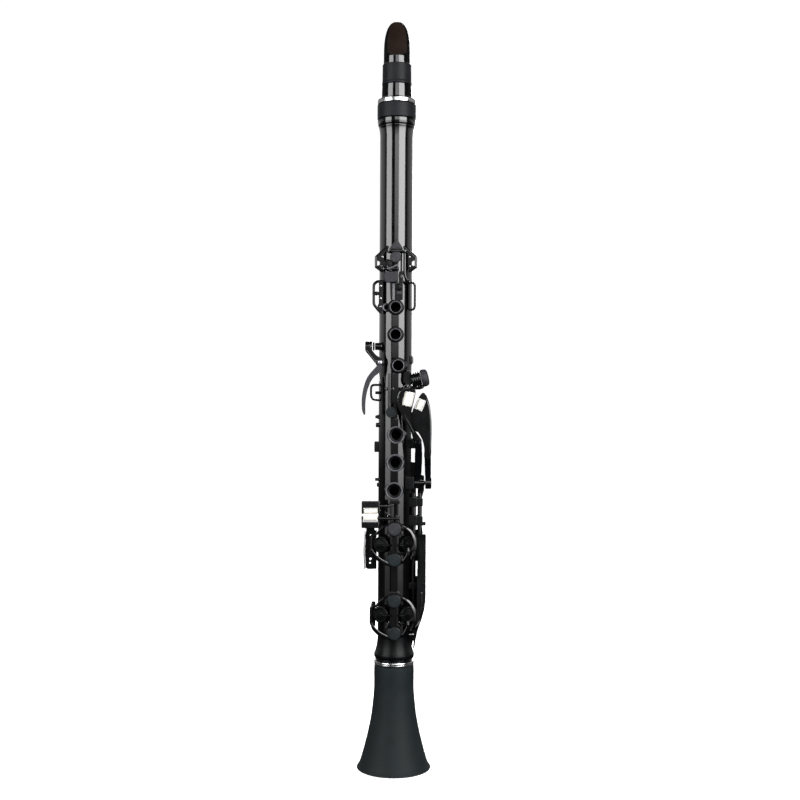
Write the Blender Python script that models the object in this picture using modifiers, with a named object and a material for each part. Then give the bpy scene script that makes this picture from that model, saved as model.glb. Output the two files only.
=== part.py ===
"""Plastic clarinet in C, standing on its bell.

Units in this file are millimetres, turned into metres when an object is made. The instrument's
axis is +Z, the finger holes face -Y and the low key rods are on the +X side. The origin is the
centre of the bell's rim plane.
"""
import math

import bmesh
import bpy
from mathutils import Matrix, Vector

MM = 0.001

# ---- driving dimensions, millimetres ----
TUBE_R = 13.0
BORE_R = 6.5
RIM_R = 29.0
BELL_TOP = 81.0
BELL_RING_TOP = 84.6
BODY_BOTTOM = 84.9
BODY_TOP = 503.0
BARREL_BOTTOM = 503.4
BARREL_TOP = 523.8
MOUTHPIECE_BOTTOM = 524.2
BEAK_START = 557.0
TIP_Z = 588.0
MOUTHPIECE_R = 10.35
LIGATURE_SEAT = 10.4
TABLE_Y = 7.2
TABLE_START = 535.1
GAP = 0.3

# finger holes on the front: name, x, z
FINGER_HOLES = [
    ("left_1", 0.0, 360.4),
    ("left_2", 0.0, 339.2),
    ("left_3", 2.2, 315.2),
    ("right_1", 0.9, 261.4),
    ("right_2", 0.2, 239.8),
    ("right_3", -0.5, 218.1),
]
CHIMNEY_R = 6.4
CHIMNEY_TOP_R = 5.0
CHIMNEY_FRONT = 15.6
HOLE_R = 3.7

# small pads on the front: x, z, tone hole radius
A_PAD = (0.3, 408.3)
G_SHARP_PAD = (-6.0, 393.6)
C_SHARP_PAD = (-3.1, 279.3)
SMALL_RIM = 13.9
PAD_T = 1.1
CUP_T = 1.5

# hinge centres: (y, z) of the cross hinges
A_HINGE = (-15.9, 403.7)
G_SHARP_HINGE = (-15.9, 389.9)
C_SHARP_PAD_HINGE = (-15.6, 297.0)
REGISTER_HINGE = (16.4, 420.0)
LEVER_HINGE = (-9.0, 224.0)

# hinges that run along the tube: (x, y)
C_SHARP_TOUCH_HINGE = (9.8, -12.6)
LEFT_PAD_HINGE = (-1.9, -15.2)
RIGHT_PAD_HINGE = (2.1, -15.2)
INNER_LINK = (14.8, -4.0)
OUTER_LINK = (19.6, -4.0)

SIDE_HINGE = (-12.0, 317.5)
SIDE_CHIMNEY = (-6.5, 330.2)

# the two pairs of low pads under the ring guards
UPPER_PADS_Z = 176.2
LOWER_PADS_Z = 122.3
PAD_TURN = 38.0
LOW_RIM = 14.2
LOW_HOLE_R = 3.8
LOW_CUP_R = 6.6
OPEN_ANGLE = 8.0
GUARD_R = 16.2
GUARD_Y = -21.5
UPPER_GUARD_Z = 177.5
BUMPER_R = 5.0
UPPER_STOPS_Z = (189.3, 165.7)
LOWER_STOPS_Z = (134.1, 109.2)

ROLLER_R = 2.15
F_ROLLER_Z = 202.6
A_FLAT_ROLLER_Z = 197.1

GLOSS_BLACK = ("gloss_black", (0.012, 0.012, 0.014), 0.12, 0.0)
BELL_SLATE = ("bell_slate", (0.021, 0.027, 0.03), 0.62, 0.0)
SOFT_GREY = ("soft_grey", (0.035, 0.037, 0.043), 0.75, 0.0)
TOUCH_GREY = ("touch_grey", (0.045, 0.046, 0.055), 0.7, 0.0)
BEAK_BLACK = ("beak_black", (0.012, 0.011, 0.011), 0.2, 0.0)
CHROME = ("chrome_ring", (0.8, 0.8, 0.82), 0.08, 1.0)
STEEL = ("steel", (0.6, 0.6, 0.62), 0.25, 1.0)
ROLLER_METAL = ("roller_metal", (0.75, 0.73, 0.68), 0.22, 1.0)
PAD_WHITE = ("pad_silicone", (0.62, 0.6, 0.55), 0.6, 0.0)
REED_CANE = ("reed_resin", (0.72, 0.66, 0.5), 0.45, 0.0)
SEAL_BLACK = ("seal_rubber", (0.02, 0.02, 0.02), 0.8, 0.0)


# ---- scene helpers ----
def clear_scene():
    for obj in list(bpy.data.objects):
        bpy.data.objects.remove(obj, do_unlink=True)


def make_collection(name):
    group = bpy.data.collections.get(name) or bpy.data.collections.new(name)
    if group.name not in bpy.context.scene.collection.children:
        bpy.context.scene.collection.children.link(group)
    return group


def make_material(spec):
    name, colour, roughness, metallic = spec
    mat = bpy.data.materials.get(name)
    if mat:
        return mat
    mat = bpy.data.materials.new(name)
    mat.use_nodes = True
    shader = mat.node_tree.nodes["Principled BSDF"]
    shader.inputs["Base Color"].default_value = (*colour, 1.0)
    shader.inputs["Roughness"].default_value = roughness
    shader.inputs["Metallic"].default_value = metallic
    return mat


def link(name, mesh):
    obj = bpy.data.objects.new(name, mesh)
    PARTS.objects.link(obj)
    return obj


def collapse(obj):
    """Replaces an object by a plain mesh of its evaluated shape, in world space."""
    bpy.context.view_layer.update()
    evaluated = obj.evaluated_get(bpy.context.evaluated_depsgraph_get())
    mesh = bpy.data.meshes.new_from_object(evaluated)
    mesh.transform(obj.matrix_world)
    work = bmesh.new()
    work.from_mesh(mesh)
    bmesh.ops.remove_doubles(work, verts=work.verts, dist=1e-7)
    bmesh.ops.recalc_face_normals(work, faces=work.faces)
    work.to_mesh(mesh)
    work.free()
    name = obj.name
    bpy.data.objects.remove(obj, do_unlink=True)
    return link(name, mesh)


def combine(base, others, operation):
    """Joins or cuts with exact Booleans, and removes the operands."""
    for other in others:
        step = base.modifiers.new(operation.lower(), "BOOLEAN")
        step.operation = operation
        step.solver = "EXACT"
        step.object = other
    result = collapse(base)
    for other in others:
        bpy.data.objects.remove(other, do_unlink=True)
    return result


def fuse(base, *others):
    return combine(base, others, "UNION")


def cut(base, *others):
    return combine(base, others, "DIFFERENCE")


def finish(obj, name, spec, pivot=(0, 0, 0), angle=35):
    """Names a part, gives it its material and puts its origin on its joint axis."""
    obj.name = name
    obj.data.name = name
    obj.data.materials.clear()
    obj.data.materials.append(make_material(spec))
    offset = Vector(pivot) * MM
    obj.data.transform(Matrix.Translation(-offset))
    obj.location = offset
    obj.data.shade_smooth()
    obj.data.set_sharp_from_angle(angle=math.radians(angle))
    return obj


# ---- shapes ----
def from_bmesh(work, name="work"):
    for vert in work.verts:
        vert.co *= MM
    mesh = bpy.data.meshes.new(name)
    bmesh.ops.recalc_face_normals(work, faces=work.faces)
    work.to_mesh(mesh)
    work.free()
    return link(name, mesh)


def box(x, y, z, round_by=0.0):
    """A box from its (low, high) limits on each axis."""
    work = bmesh.new()
    size = (x[1] - x[0], y[1] - y[0], z[1] - z[0])
    centre = ((x[0] + x[1]) / 2, (y[0] + y[1]) / 2, (z[0] + z[1]) / 2)
    matrix = Matrix.Translation(centre) @ Matrix.Diagonal((*size, 1))
    bmesh.ops.create_cube(work, size=1.0, matrix=matrix)
    if round_by:
        bmesh.ops.bevel(work, geom=list(work.edges), offset=round_by, segments=1,
                        affect="EDGES")
    return from_bmesh(work)


def rod(start, end, r1, r2=None, segments=12):
    """A cylinder or cone between two points."""
    start = Vector(start)
    end = Vector(end)
    along = end - start
    turn = along.to_track_quat("Z", "Y").to_matrix().to_4x4()
    work = bmesh.new()
    bmesh.ops.create_cone(work, cap_ends=True, segments=segments, radius1=r1,
                          radius2=r1 if r2 is None else r2, depth=along.length,
                          matrix=Matrix.Translation((start + end) / 2) @ turn)
    return from_bmesh(work)


def turned(profile, segments=28, closed=True):
    """A solid of revolution about Z. The profile is (radius, z), down the outside first."""
    work = bmesh.new()
    points = [work.verts.new((r, 0, z)) for r, z in profile]
    for a, b in zip(points, points[1:]):
        work.edges.new((a, b))
    if closed:
        work.edges.new((points[-1], points[0]))
    for vert in work.verts:
        vert.co *= MM
    mesh = bpy.data.meshes.new("turned")
    work.to_mesh(mesh)
    work.free()
    obj = link("turned", mesh)
    screw = obj.modifiers.new("screw", "SCREW")
    screw.axis = "Z"
    screw.steps = segments
    screw.render_steps = segments
    screw.use_merge_vertices = True
    screw.merge_threshold = 1e-5
    return collapse(obj)


def plate(points, y, smooth=False):
    """A flat outline in X and Z, given as (x, z) points, thick between two Y values."""
    curve = bpy.data.curves.new("plate", "CURVE")
    curve.dimensions = "2D"
    curve.fill_mode = "BOTH"
    curve.extrude = abs(y[1] - y[0]) / 2 * MM
    curve.resolution_u = 3
    if smooth:
        spline = curve.splines.new("BEZIER")
        spline.bezier_points.add(len(points) - 1)
        for knot, (x, z) in zip(spline.bezier_points, points):
            knot.co = (x * MM, z * MM, 0)
            knot.handle_left_type = "AUTO"
            knot.handle_right_type = "AUTO"
    else:
        spline = curve.splines.new("POLY")
        spline.points.add(len(points) - 1)
        for knot, (x, z) in zip(spline.points, points):
            knot.co = (x * MM, z * MM, 0, 1)
    spline.use_cyclic_u = True
    obj = bpy.data.objects.new("plate", curve)
    PARTS.objects.link(obj)
    obj.matrix_world = (Matrix.Translation((0, (y[0] + y[1]) / 2 * MM, 0))
                        @ Matrix.Rotation(math.radians(90), 4, "X"))
    return collapse(obj)


def wire(points, radius, cyclic=False):
    """A round bar along straight runs through the points."""
    curve = bpy.data.curves.new("wire", "CURVE")
    curve.dimensions = "3D"
    curve.bevel_depth = radius * MM
    curve.bevel_resolution = 1
    curve.use_fill_caps = True
    spline = curve.splines.new("POLY")
    spline.points.add(len(points) - 1)
    for knot, place in zip(spline.points, points):
        knot.co = (*(Vector(place) * MM), 1)
    spline.use_cyclic_u = cyclic
    obj = bpy.data.objects.new("wire", curve)
    PARTS.objects.link(obj)
    return collapse(obj)


def oval(cx, cz, rx, rz, tilt=0.0, count=16):
    """Points of an ellipse, turned by tilt degrees."""
    turn = math.radians(tilt)
    points = []
    for i in range(count):
        a = 2 * math.pi * i / count
        u = rx * math.cos(a)
        v = rz * math.sin(a)
        points.append((cx + u * math.cos(turn) - v * math.sin(turn),
                       cz + u * math.sin(turn) + v * math.cos(turn)))
    return points


def arc(cx, cz, radius, start, end, count):
    """Points on an arc, angles in degrees."""
    points = []
    for i in range(count + 1):
        a = math.radians(start + (end - start) * i / count)
        points.append((cx + radius * math.cos(a), cz + radius * math.sin(a)))
    return points


def turn_about(obj, centre, degrees):
    """Turns a mesh about a Z-parallel axis through (x, y)."""
    place = Vector((centre[0], centre[1], 0)) * MM
    obj.data.transform(Matrix.Translation(place) @ Matrix.Rotation(math.radians(degrees), 4, "Z")
                       @ Matrix.Translation(-place))
    return obj


def radial(near, far, r1, r2, turn, z, segments=12):
    """A cylinder pointing out of the tube, its direction turned from the front by degrees."""
    a = math.radians(turn)
    way = Vector((math.sin(a), -math.cos(a), 0))
    height = Vector((0, 0, z))
    return rod(way * near + height, way * far + height, r1, r2, segments)


# ---- body joints ----
def o_ring(z, inner, outer, name):
    seal = turned([(outer, z + 0.9), (outer, z - 0.9), (inner, z - 0.9), (inner, z + 0.9)], 24)
    return finish(seal, name, SEAL_BLACK)


def bell_outline():
    """The bell's outer curve from its top to its rim, as (radius, z)."""
    return [(15.25, BELL_TOP), (15.45, BELL_TOP - 0.6), (15.25, 62.0), (15.6, 56.5),
            (16.9, 45.5), (19.0, 33.0), (21.9, 20.3), (25.4, 7.8), (27.2, 3.2), (28.5, 1.6),
            (RIM_R, 0.9), (28.9, 0.2), (28.5, 0.0)]


def make_bell():
    inside = [(27.0, 0.0), (25.6, 2.4), (23.4, 8.2), (19.9, 20.2), (16.9, 33.0), (13.4, 47.0),
              (8.0, 60.0), (7.2, 64.0), (11.8, 64.0), (11.8, BELL_TOP)]
    finish(turned(bell_outline() + inside, 32), "bell", BELL_SLATE)


def make_bell_ring():
    low = BELL_TOP + GAP
    ring = turned([(15.2, BELL_RING_TOP), (15.6, BELL_RING_TOP - 0.5), (15.6, low + 0.5),
                   (15.2, low), (11.8, low), (11.8, BELL_RING_TOP)])
    finish(ring, "bell_ring", CHROME)


def make_barrel():
    profile = [(11.9, BARREL_TOP - 0.5), (11.9, 520.0), (12.6, 520.0), (12.6, 508.4),
               (14.9, 508.4), (14.9, 506.0), (14.5, BARREL_BOTTOM + 0.3), (14.2, BARREL_BOTTOM),
               (10.7, BARREL_BOTTOM), (10.7, 496.2), (9.5, 496.2), (9.5, 493.8),
               (10.7, 493.8), (10.7, 484.8), (BORE_R, 484.8), (BORE_R, 509.0),
               (9.3, 509.0), (9.3, BARREL_TOP - 0.5)]
    finish(turned(profile), "barrel", GLOSS_BLACK)


def make_barrel_ring():
    low = 520.3
    ring = turned([(14.5, BARREL_TOP), (14.9, BARREL_TOP - 0.4), (14.9, low + 0.4), (14.5, low),
                   (12.2, low), (12.2, BARREL_TOP)])
    finish(ring, "barrel_ring", CHROME)


def make_barrel_grip():
    low = 508.7
    high = 520.0
    grip = turned([(14.9, high), (15.15, high - 0.3), (15.15, low + 0.3), (14.9, low),
                   (12.9, low), (12.9, high)])
    finish(grip, "barrel_grip", SOFT_GREY)


def beak_half_width(z):
    """Half width of the mouthpiece seen from the front, rounding in to the tip."""
    start = 560.0
    if z <= start:
        return MOUTHPIECE_R
    t = (z - start) / (TIP_Z - start)
    return MOUTHPIECE_R * max(1 - t ** 2.5, 0.0) ** (1 / 2.5)


def beak_front(z):
    """How far the front of the mouthpiece stands out, falling to the thin tip."""
    if z <= BEAK_START:
        return MOUTHPIECE_R
    t = (z - BEAK_START) / (TIP_Z - BEAK_START)
    return MOUTHPIECE_R - (MOUTHPIECE_R + 6.2) * (0.78 * t + 0.22 * t * t)


def mouthpiece_section(z, radius, count=20):
    """A closed ring of points: round in front, cut flat by the reed table behind."""
    half = radius if z < BEAK_START else beak_half_width(z)
    front = radius if z < BEAK_START else beak_front(z)
    back = TABLE_Y if z > TABLE_START else radius
    radius_limit = max(radius, 10.6)
    widest = 7.1 * max((z - BEAK_START) / (TIP_Z - BEAK_START), 0.0)
    points = []
    for i in range(count):
        a = 2 * math.pi * i / count
        c = math.cos(a)
        y = widest - (widest + front) * c if c > 0 else widest - half * c
        x = half * math.sin(a)
        points.append((x, min(y, back, math.sqrt(radius_limit ** 2 - x * x)), z))
    return points


def make_mouthpiece():
    """The blown end: a round body, a sloping beak and a flat table for the reed."""
    heights = [(MOUTHPIECE_BOTTOM, 11.3), (524.8, 11.75), (532.0, 11.6), (535.0, 11.4),
               (535.2, LIGATURE_SEAT), (551.8, LIGATURE_SEAT), (552.0, MOUTHPIECE_R + 0.3),
               (555.5, MOUTHPIECE_R), (563.0, MOUTHPIECE_R),
               (570.5, MOUTHPIECE_R), (576.0, MOUTHPIECE_R), (580.0, MOUTHPIECE_R),
               (583.4, MOUTHPIECE_R), (586.0, MOUTHPIECE_R), (587.6, MOUTHPIECE_R)]
    work = bmesh.new()
    rings = [[work.verts.new(p) for p in mouthpiece_section(z, r)] for z, r in heights]
    for low, high in zip(rings, rings[1:]):
        for i in range(len(low)):
            j = (i + 1) % len(low)
            work.faces.new((low[i], low[j], high[j], high[i]))
    work.faces.new(list(reversed(rings[0])))
    work.faces.new(rings[-1])
    body = from_bmesh(work)
    tenon = turned([(0.0, 525.0), (9.0, 525.0), (9.0, 517.4), (7.9, 517.4), (7.9, 515.0),
                    (9.0, 515.0), (9.0, 509.4), (0.0, 509.4)], 24, closed=False)
    body = fuse(body, tenon)
    bore = rod((0, 0.4, 508), (0, 1.0, 562), 6.3, 4.6, 16)
    throat = box((-3.9, 3.9), (0.0, 9.0), (548.0, 577.0))
    finish(cut(body, bore, throat), "mouthpiece", BEAK_BLACK)


def make_reed():
    """A thin wedge along the table, thick at its heel and thin at the tip."""
    near = TABLE_Y + GAP
    work = bmesh.new()
    levels = [(536.0, 5.9, 2.3), (556.0, 6.0, 2.2), (572.0, 6.2, 1.2), (582.0, 6.3, 0.5),
              (586.6, 4.2, 0.35)]
    rings = []
    for z, half, thick in levels:
        half = min(half, beak_half_width(z))
        ring = [(-half, near), (half, near), (half, near + thick * 0.6),
                (half * 0.6, near + thick), (-half * 0.6, near + thick),
                (-half, near + thick * 0.6)]
        rings.append([work.verts.new((x, y, z)) for x, y in ring])
    for low, high in zip(rings, rings[1:]):
        for i in range(len(low)):
            j = (i + 1) % len(low)
            work.faces.new((low[i], low[j], high[j], high[i]))
    work.faces.new(list(reversed(rings[0])))
    work.faces.new(rings[-1])
    finish(from_bmesh(work), "reed", REED_CANE)


def make_ligature():
    """A moulded band that holds the reed on its table, with a grip rib behind."""
    low = 535.6
    high = 551.4
    band = turned([(11.3, high), (11.5, high - 0.5), (11.8, low + 0.5), (11.6, low),
                   (11.0, low), (11.0, high)])
    rib = box((-2.4, 2.4), (11.2, 13.4), (low + 1.4, high - 1.4), 0.5)
    finish(fuse(band, rib), "ligature", SOFT_GREY)


# ---- main body ----
def body_tube():
    outer = [(14.05, BODY_TOP), (13.75, 501.4), (13.3, 498.2), (TUBE_R, 494.0), (TUBE_R, 104.0),
             (13.7, 97.0), (14.6, 93.0), (15.6, 89.6), (15.6, 87.6), (14.3, BODY_BOTTOM)]
    tenon = [(11.4, BODY_BOTTOM), (11.4, 76.4), (10.2, 76.4), (10.2, 74.0), (11.4, 74.0),
             (11.4, 64.5), (0.0, 64.5)]
    return turned([(0.0, BODY_TOP)] + outer + tenon, 28, closed=False)


def body_bore():
    """The bore, with the socket for the barrel at its top."""
    return turned([(0.0, BODY_TOP + 5), (11.05, BODY_TOP + 5), (11.05, 484.3), (BORE_R, 484.3),
                   (BORE_R, 60.0), (0.0, 60.0)], 20, closed=False)


def finger_chimneys():
    made = []
    for _, x, z in FINGER_HOLES:
        made.append(rod((x, -8.0, z), (x, -CHIMNEY_FRONT, z), CHIMNEY_R, CHIMNEY_TOP_R, 14))
    made.append(rod((-5.6, -8.0, 361.0), (-5.6, -13.8, 361.0), 3.4, 2.8, 12))
    made.append(rod((0, 9.0, 390.0), (0, 15.4, 390.0), CHIMNEY_R, CHIMNEY_TOP_R, 14))
    return made


def finger_bores():
    made = []
    for _, x, z in FINGER_HOLES:
        made.append(rod((x, -4.0, z), (x, -19.0, z), HOLE_R, HOLE_R, 12))
    made.append(rod((0, 4.0, 390.0), (0, 19.0, 390.0), HOLE_R, HOLE_R, 12))
    return made


def small_rims():
    made = []
    for x, z in (A_PAD, G_SHARP_PAD, C_SHARP_PAD):
        made.append(rod((x, -8.0, z), (x, -SMALL_RIM, z), 3.4, 3.0, 12))
    made.append(rod((-6.0, SIDE_CHIMNEY[0], SIDE_CHIMNEY[1]),
                    (-16.1, SIDE_CHIMNEY[0], SIDE_CHIMNEY[1]), 3.0, 2.8, 12))
    made.append(rod((0, 9.0, 433.0), (0, 14.2, 433.0), 3.0, 2.6, 10))
    return made


def small_bores():
    made = []
    for x, z in (A_PAD, G_SHARP_PAD, C_SHARP_PAD):
        made.append(rod((x, -4.0, z), (x, -18.0, z), 1.9, 1.9, 8))
    made.append(rod((-3.0, SIDE_CHIMNEY[0], SIDE_CHIMNEY[1]),
                    (-19.0, SIDE_CHIMNEY[0], SIDE_CHIMNEY[1]), 1.8, 1.8, 8))
    made.append(rod((0, 3.0, 433.0), (0, 18.0, 433.0), 1.2, 1.2, 8))
    return made


def low_rims():
    made = []
    for z in (UPPER_PADS_Z, LOWER_PADS_Z):
        for side in (-1, 1):
            made.append(radial(9.0, LOW_RIM, 5.2, 5.0, side * PAD_TURN, z))
    return made


def low_bores():
    made = []
    for z in (UPPER_PADS_Z, LOWER_PADS_Z):
        for side in (-1, 1):
            made.append(radial(4.0, 19.0, LOW_HOLE_R, LOW_HOLE_R, side * PAD_TURN, z, 10))
    return made


def cross_posts(x_left, x_right, y, z, width=1.8):
    """Two ears that hold a hinge running across the tube."""
    made = []
    for x in (x_left, x_right):
        side = 1 if x > (x_left + x_right) / 2 else -1
        limits = sorted((x, x + side * width))
        reach = sorted((y + math.copysign(1.3, y), math.copysign(7.0, y)))
        made.append(box(limits, reach, (z - 1.2, z + 1.2)))
    return made


def hinge_posts():
    made = []
    made += cross_posts(-5.5, 6.1, A_HINGE[0], A_HINGE[1], 1.4)
    made += cross_posts(-9.3, 1.3, G_SHARP_HINGE[0], G_SHARP_HINGE[1], 1.2)
    made += cross_posts(-6.6, -2.6, C_SHARP_PAD_HINGE[0], C_SHARP_PAD_HINGE[1], 1.5)
    made += cross_posts(-4.2, 4.2, REGISTER_HINGE[0], REGISTER_HINGE[1])
    made.append(box((8.3, 11.6), (-14.3, -6.0), (296.2, 299.2)))
    made.append(box((8.3, 11.6), (-14.3, -6.0), (308.8, 311.6)))
    for top in (UPPER_PADS_Z + 35.0, LOWER_PADS_Z + 17.6):
        made.append(box((-3.8, 4.0), (-17.0, -10.0), (top - 2.9, top)))
    for low in (UPPER_PADS_Z - 12.4, LOWER_PADS_Z - 15.4):
        made.append(box((-3.8, 4.0), (-17.0, -10.0), (low, low + 2.9)))
    made.append(box((8.0, 15.0), (-11.8, -5.0), (219.2, 229.0)))
    made.append(box((8.0, 14.4), (-9.5, -5.0), (251.5, 258.5)))
    for z in ((205.0, 212.4), (190.2, 198.4)):
        made.append(box((10.0, 22.0), (-6.5, -1.5), z))
    made.append(box((20.0, 24.3), (-6.0, -2.0), (190.4, 193.6)))
    for z in ((141.0, 146.0), (100.5, 105.5)):
        made.append(box((10.0, 22.0), (-6.5, -1.5), z))
    made.append(rod((SIDE_HINGE[0], -9.8, SIDE_HINGE[1]), (SIDE_HINGE[0], 2.0, SIDE_HINGE[1]),
                    2.4))
    return made


def side_nubs():
    """Small guide posts on both sides of the tube."""
    made = []
    for z, reach in (((273.6, 276.8), 15.6), ((267.0, 270.6), 15.0), ((247.6, 256.0), 16.2),
                     ((224.8, 227.4), 15.4), ((220.4, 223.6), 14.2)):
        made.append(box((-reach, -10.0), (-4.0, 0.5), z))
    made.append(box((9.5, 13.5), (-6.5, -2.0), (316.4, 323.2)))
    return made


def spine():
    return [box((-2.7, 2.7), (-13.6, -10.0), (z0, z1))
            for z0, z1 in ((286.0, 352.0), (222.0, 257.0), (139.0, 162.0))]


def rod_holes():
    """Bearings of the steel rods and of the two link rods."""
    made = []
    for x, y in (LEFT_PAD_HINGE, RIGHT_PAD_HINGE):
        made.append(rod((x, y, 105.0), (x, y, 213.0), 1.1, 1.1, 8))
    for (x, y), radius in ((INNER_LINK, 2.2), (OUTER_LINK, 2.0)):
        made.append(rod((x, y, 102.9), (x, y, 214.0), radius))
    made.append(rod((8.6, LEVER_HINGE[0], LEVER_HINGE[1]),
                    (30.0, LEVER_HINGE[0], LEVER_HINGE[1]), 1.5, 1.5, 10))
    made.append(rod((SIDE_HINGE[0], -20.0, SIDE_HINGE[1]), (SIDE_HINGE[0], -1.5, SIDE_HINGE[1]),
                    1.3, 1.3, 8))
    x, y = C_SHARP_TOUCH_HINGE
    made.append(rod((x, y, 295.0), (x, y, 312.5), 1.0, 1.0, 8))
    return made


def cross_pivot_holes():
    """Sockets in the ears for the moulded pivots of the cross-hinged keys."""
    made = []
    for (y, z), x0, x1 in ((A_HINGE, -8.0, 8.4), (G_SHARP_HINGE, -12.4, 3.4),
                           (C_SHARP_PAD_HINGE, -9.0, 0.0), (REGISTER_HINGE, -7.0, 7.0)):
        made.append(rod((x0, y, z), (x1, y, z), 0.9, 0.9, 8))
    return made


def make_main_body():
    body = fuse(body_tube(), *finger_chimneys(), *small_rims(), *low_rims(), *hinge_posts(),
                *side_nubs(), *spine())
    body = cut(body, body_bore(), *finger_bores(), *small_bores(), *low_bores(), *rod_holes(),
               *cross_pivot_holes())
    finish(body, "main_body", GLOSS_BLACK)


# ---- fixed frames on the body ----
def make_throat_brackets():
    for side, name in ((-1, "throat_bracket_left"), (1, "throat_bracket_right")):
        outer = [(8.4, 407.4), (16.5, 400.4), (16.5, 391.6), (12.2, 388.2), (10.8, 390.2),
                 (10.8, 399.4), (7.6, 405.4)]
        hole = [(12.3, 400.0), (14.9, 397.4), (14.9, 393.0), (12.3, 391.6)]
        frame = plate([(side * x, z) for x, z in outer], (-12.4, -9.3))
        window = plate([(side * x, z) for x, z in hole], (-15.0, -6.0))
        frame = cut(frame, window)
        clear = rod((0, 0, 380.0), (0, 0, 415.0), TUBE_R + GAP, TUBE_R + GAP, 32)
        finish(cut(frame, clear), name, GLOSS_BLACK)


def make_left_guard():
    outer = [(-9.8, 380.4), (-16.6, 380.4), (-18.9, 377.6), (-18.9, 363.0), (-16.4, 360.6),
             (-12.4, 356.0), (-10.2, 356.0), (-9.8, 362.0)]
    frame = plate(outer, (-12.2, -9.2))
    upper = box((-17.5, -13.6), (-16.0, -5.0), (372.0, 378.4))
    lower = box((-17.5, -13.6), (-16.0, -5.0), (363.6, 370.2))
    clear = rod((0, 0, 350.0), (0, 0, 385.0), TUBE_R + GAP, TUBE_R + GAP, 32)
    finish(cut(frame, upper, lower, clear), "left_guard", GLOSS_BLACK)


def make_right_guard():
    outer = [(9.8, 379.6), (14.4, 380.2), (16.0, 377.8), (16.0, 361.0), (14.4, 358.4),
             (9.8, 359.4)]
    frame = plate(outer, (-12.2, -9.2))
    window = box((12.9, 14.8), (-16.0, -5.0), (360.8, 377.8))
    clear = rod((0, 0, 350.0), (0, 0, 385.0), TUBE_R + GAP, TUBE_R + GAP, 32)
    finish(cut(frame, window, clear), "right_guard", GLOSS_BLACK)


def make_lever_guide():
    """The small loop beside the side trill lever."""
    y = -4.0
    points = [(-13.3, y, 300.2), (-17.6, y, 300.0), (-19.0, y, 298.6), (-19.2, y, 292.0),
              (-18.2, y, 289.4), (-16.2, y, 288.2), (-13.3, y, 288.0)]
    loop = wire(points, 0.75)
    finish(loop, "lever_guide", GLOSS_BLACK)


def make_ring_guard(name, z, stops, foot_x, foot_z, holes):
    """A round guard over two low pads, with a middle bar, two lugs and a pierced left foot."""
    count = 24
    ring = [(x, GUARD_Y, h) for x, h in arc(0, z, GUARD_R, 0, 360 * (count - 1) / count, count - 1)]
    guard = wire(ring, 0.9, cyclic=True)
    bar = box((-2.3, 2.3), (GUARD_Y - 0.5, GUARD_Y + 0.7), (z - 15.8, z + 15.8))
    lugs = [rod((0, GUARD_Y - 0.8, h), (0, GUARD_Y + 0.8, h), 4.6, 4.6, 16) for h in stops]
    foot = box(foot_x, (-8.0, -5.6), foot_z, 0.4)
    left_legs = [box((-18.8, -17.0), (GUARD_Y + 0.2, -6.0), (z - 4.4, z - 2.0)),
                 box((-18.8, -17.0), (GUARD_Y + 0.2, -6.0), (z + 3.4, z + 5.8))]
    left_ties = box((-18.8, -15.4), (GUARD_Y - 0.6, GUARD_Y + 0.8), (z - 4.6, z + 6.0))
    right_legs = []
    for low in (-10.8, 8.4):
        level = (z + low, z + low + 2.4)
        right_legs.append(box((12.0, 13.9), (GUARD_Y + 0.2, -10.6), level))
        right_legs.append(box((7.6, 13.9), (-12.4, -10.4), level))
    guard = fuse(guard, bar, *lugs, foot, *left_legs, left_ties, *right_legs)
    drills = [rod((x, -12.0, z + dz), (x, -2.0, z + dz), 1.1, 1.1, 6) for x, dz in holes]
    clear = rod((0, 0, z - 30), (0, 0, z + 30), TUBE_R + GAP, TUBE_R + GAP, 32)
    finish(cut(guard, clear, *drills), name, GLOSS_BLACK)


def make_bumpers(prefix, stops):
    for h, place in zip(stops, ("top", "bottom")):
        bumper = rod((0, GUARD_Y - 1.2, h), (0, GUARD_Y - 2.6, h), BUMPER_R, BUMPER_R - 0.3, 20)
        finish(bumper, prefix + "_bumper_" + place, TOUCH_GREY)


def make_rod_fairing():
    """The long cover over the outer link rod, tapering into the foot of the body."""
    outline = [(17.6, 184.6), (24.4, 184.6), (24.4, 136.0), (23.4, 125.8), (21.3, 118.6),
               (18.4, 110.4), (16.8, 103.4), (15.6, 96.0), (14.9, 96.4), (15.6, 103.4),
               (17.0, 112.0), (17.6, 118.0), (17.6, 158.0), (19.2, 160.0), (19.2, 166.0),
               (17.6, 168.0)]
    front = plate(outline, (-12.4, -10.7))
    side = box((22.6, 24.4), (-12.4, -2.0), (132.0, 184.6))
    finish(fuse(front, side), "rod_fairing", GLOSS_BLACK)


def make_thumb_rest():
    """A hook behind the body that carries the instrument on the right thumb."""
    base = box((-5.0, 5.0), (13.3, 15.4), (238.0, 262.0), 0.5)
    ledge = box((-8.5, 8.5), (13.8, 26.0), (259.6, 262.8), 0.8)
    lip = box((-8.5, 8.5), (24.4, 26.6), (257.0, 262.8), 0.7)
    finish(fuse(base, ledge, lip), "thumb_rest", GLOSS_BLACK)


def make_thumb_cushion():
    cushion = box((-7.6, 7.6), (15.8, 24.0), (257.6, 259.2), 0.5)
    finish(cushion, "thumb_cushion", SOFT_GREY)


# ---- small keys on the front ----
def pad_disc(x, z, radius, name, pivot, near=SMALL_RIM + GAP):
    disc = rod((x, -near, z), (x, -near - PAD_T, z), radius, radius, 14)
    finish(disc, name, PAD_WHITE, pivot)


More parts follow.
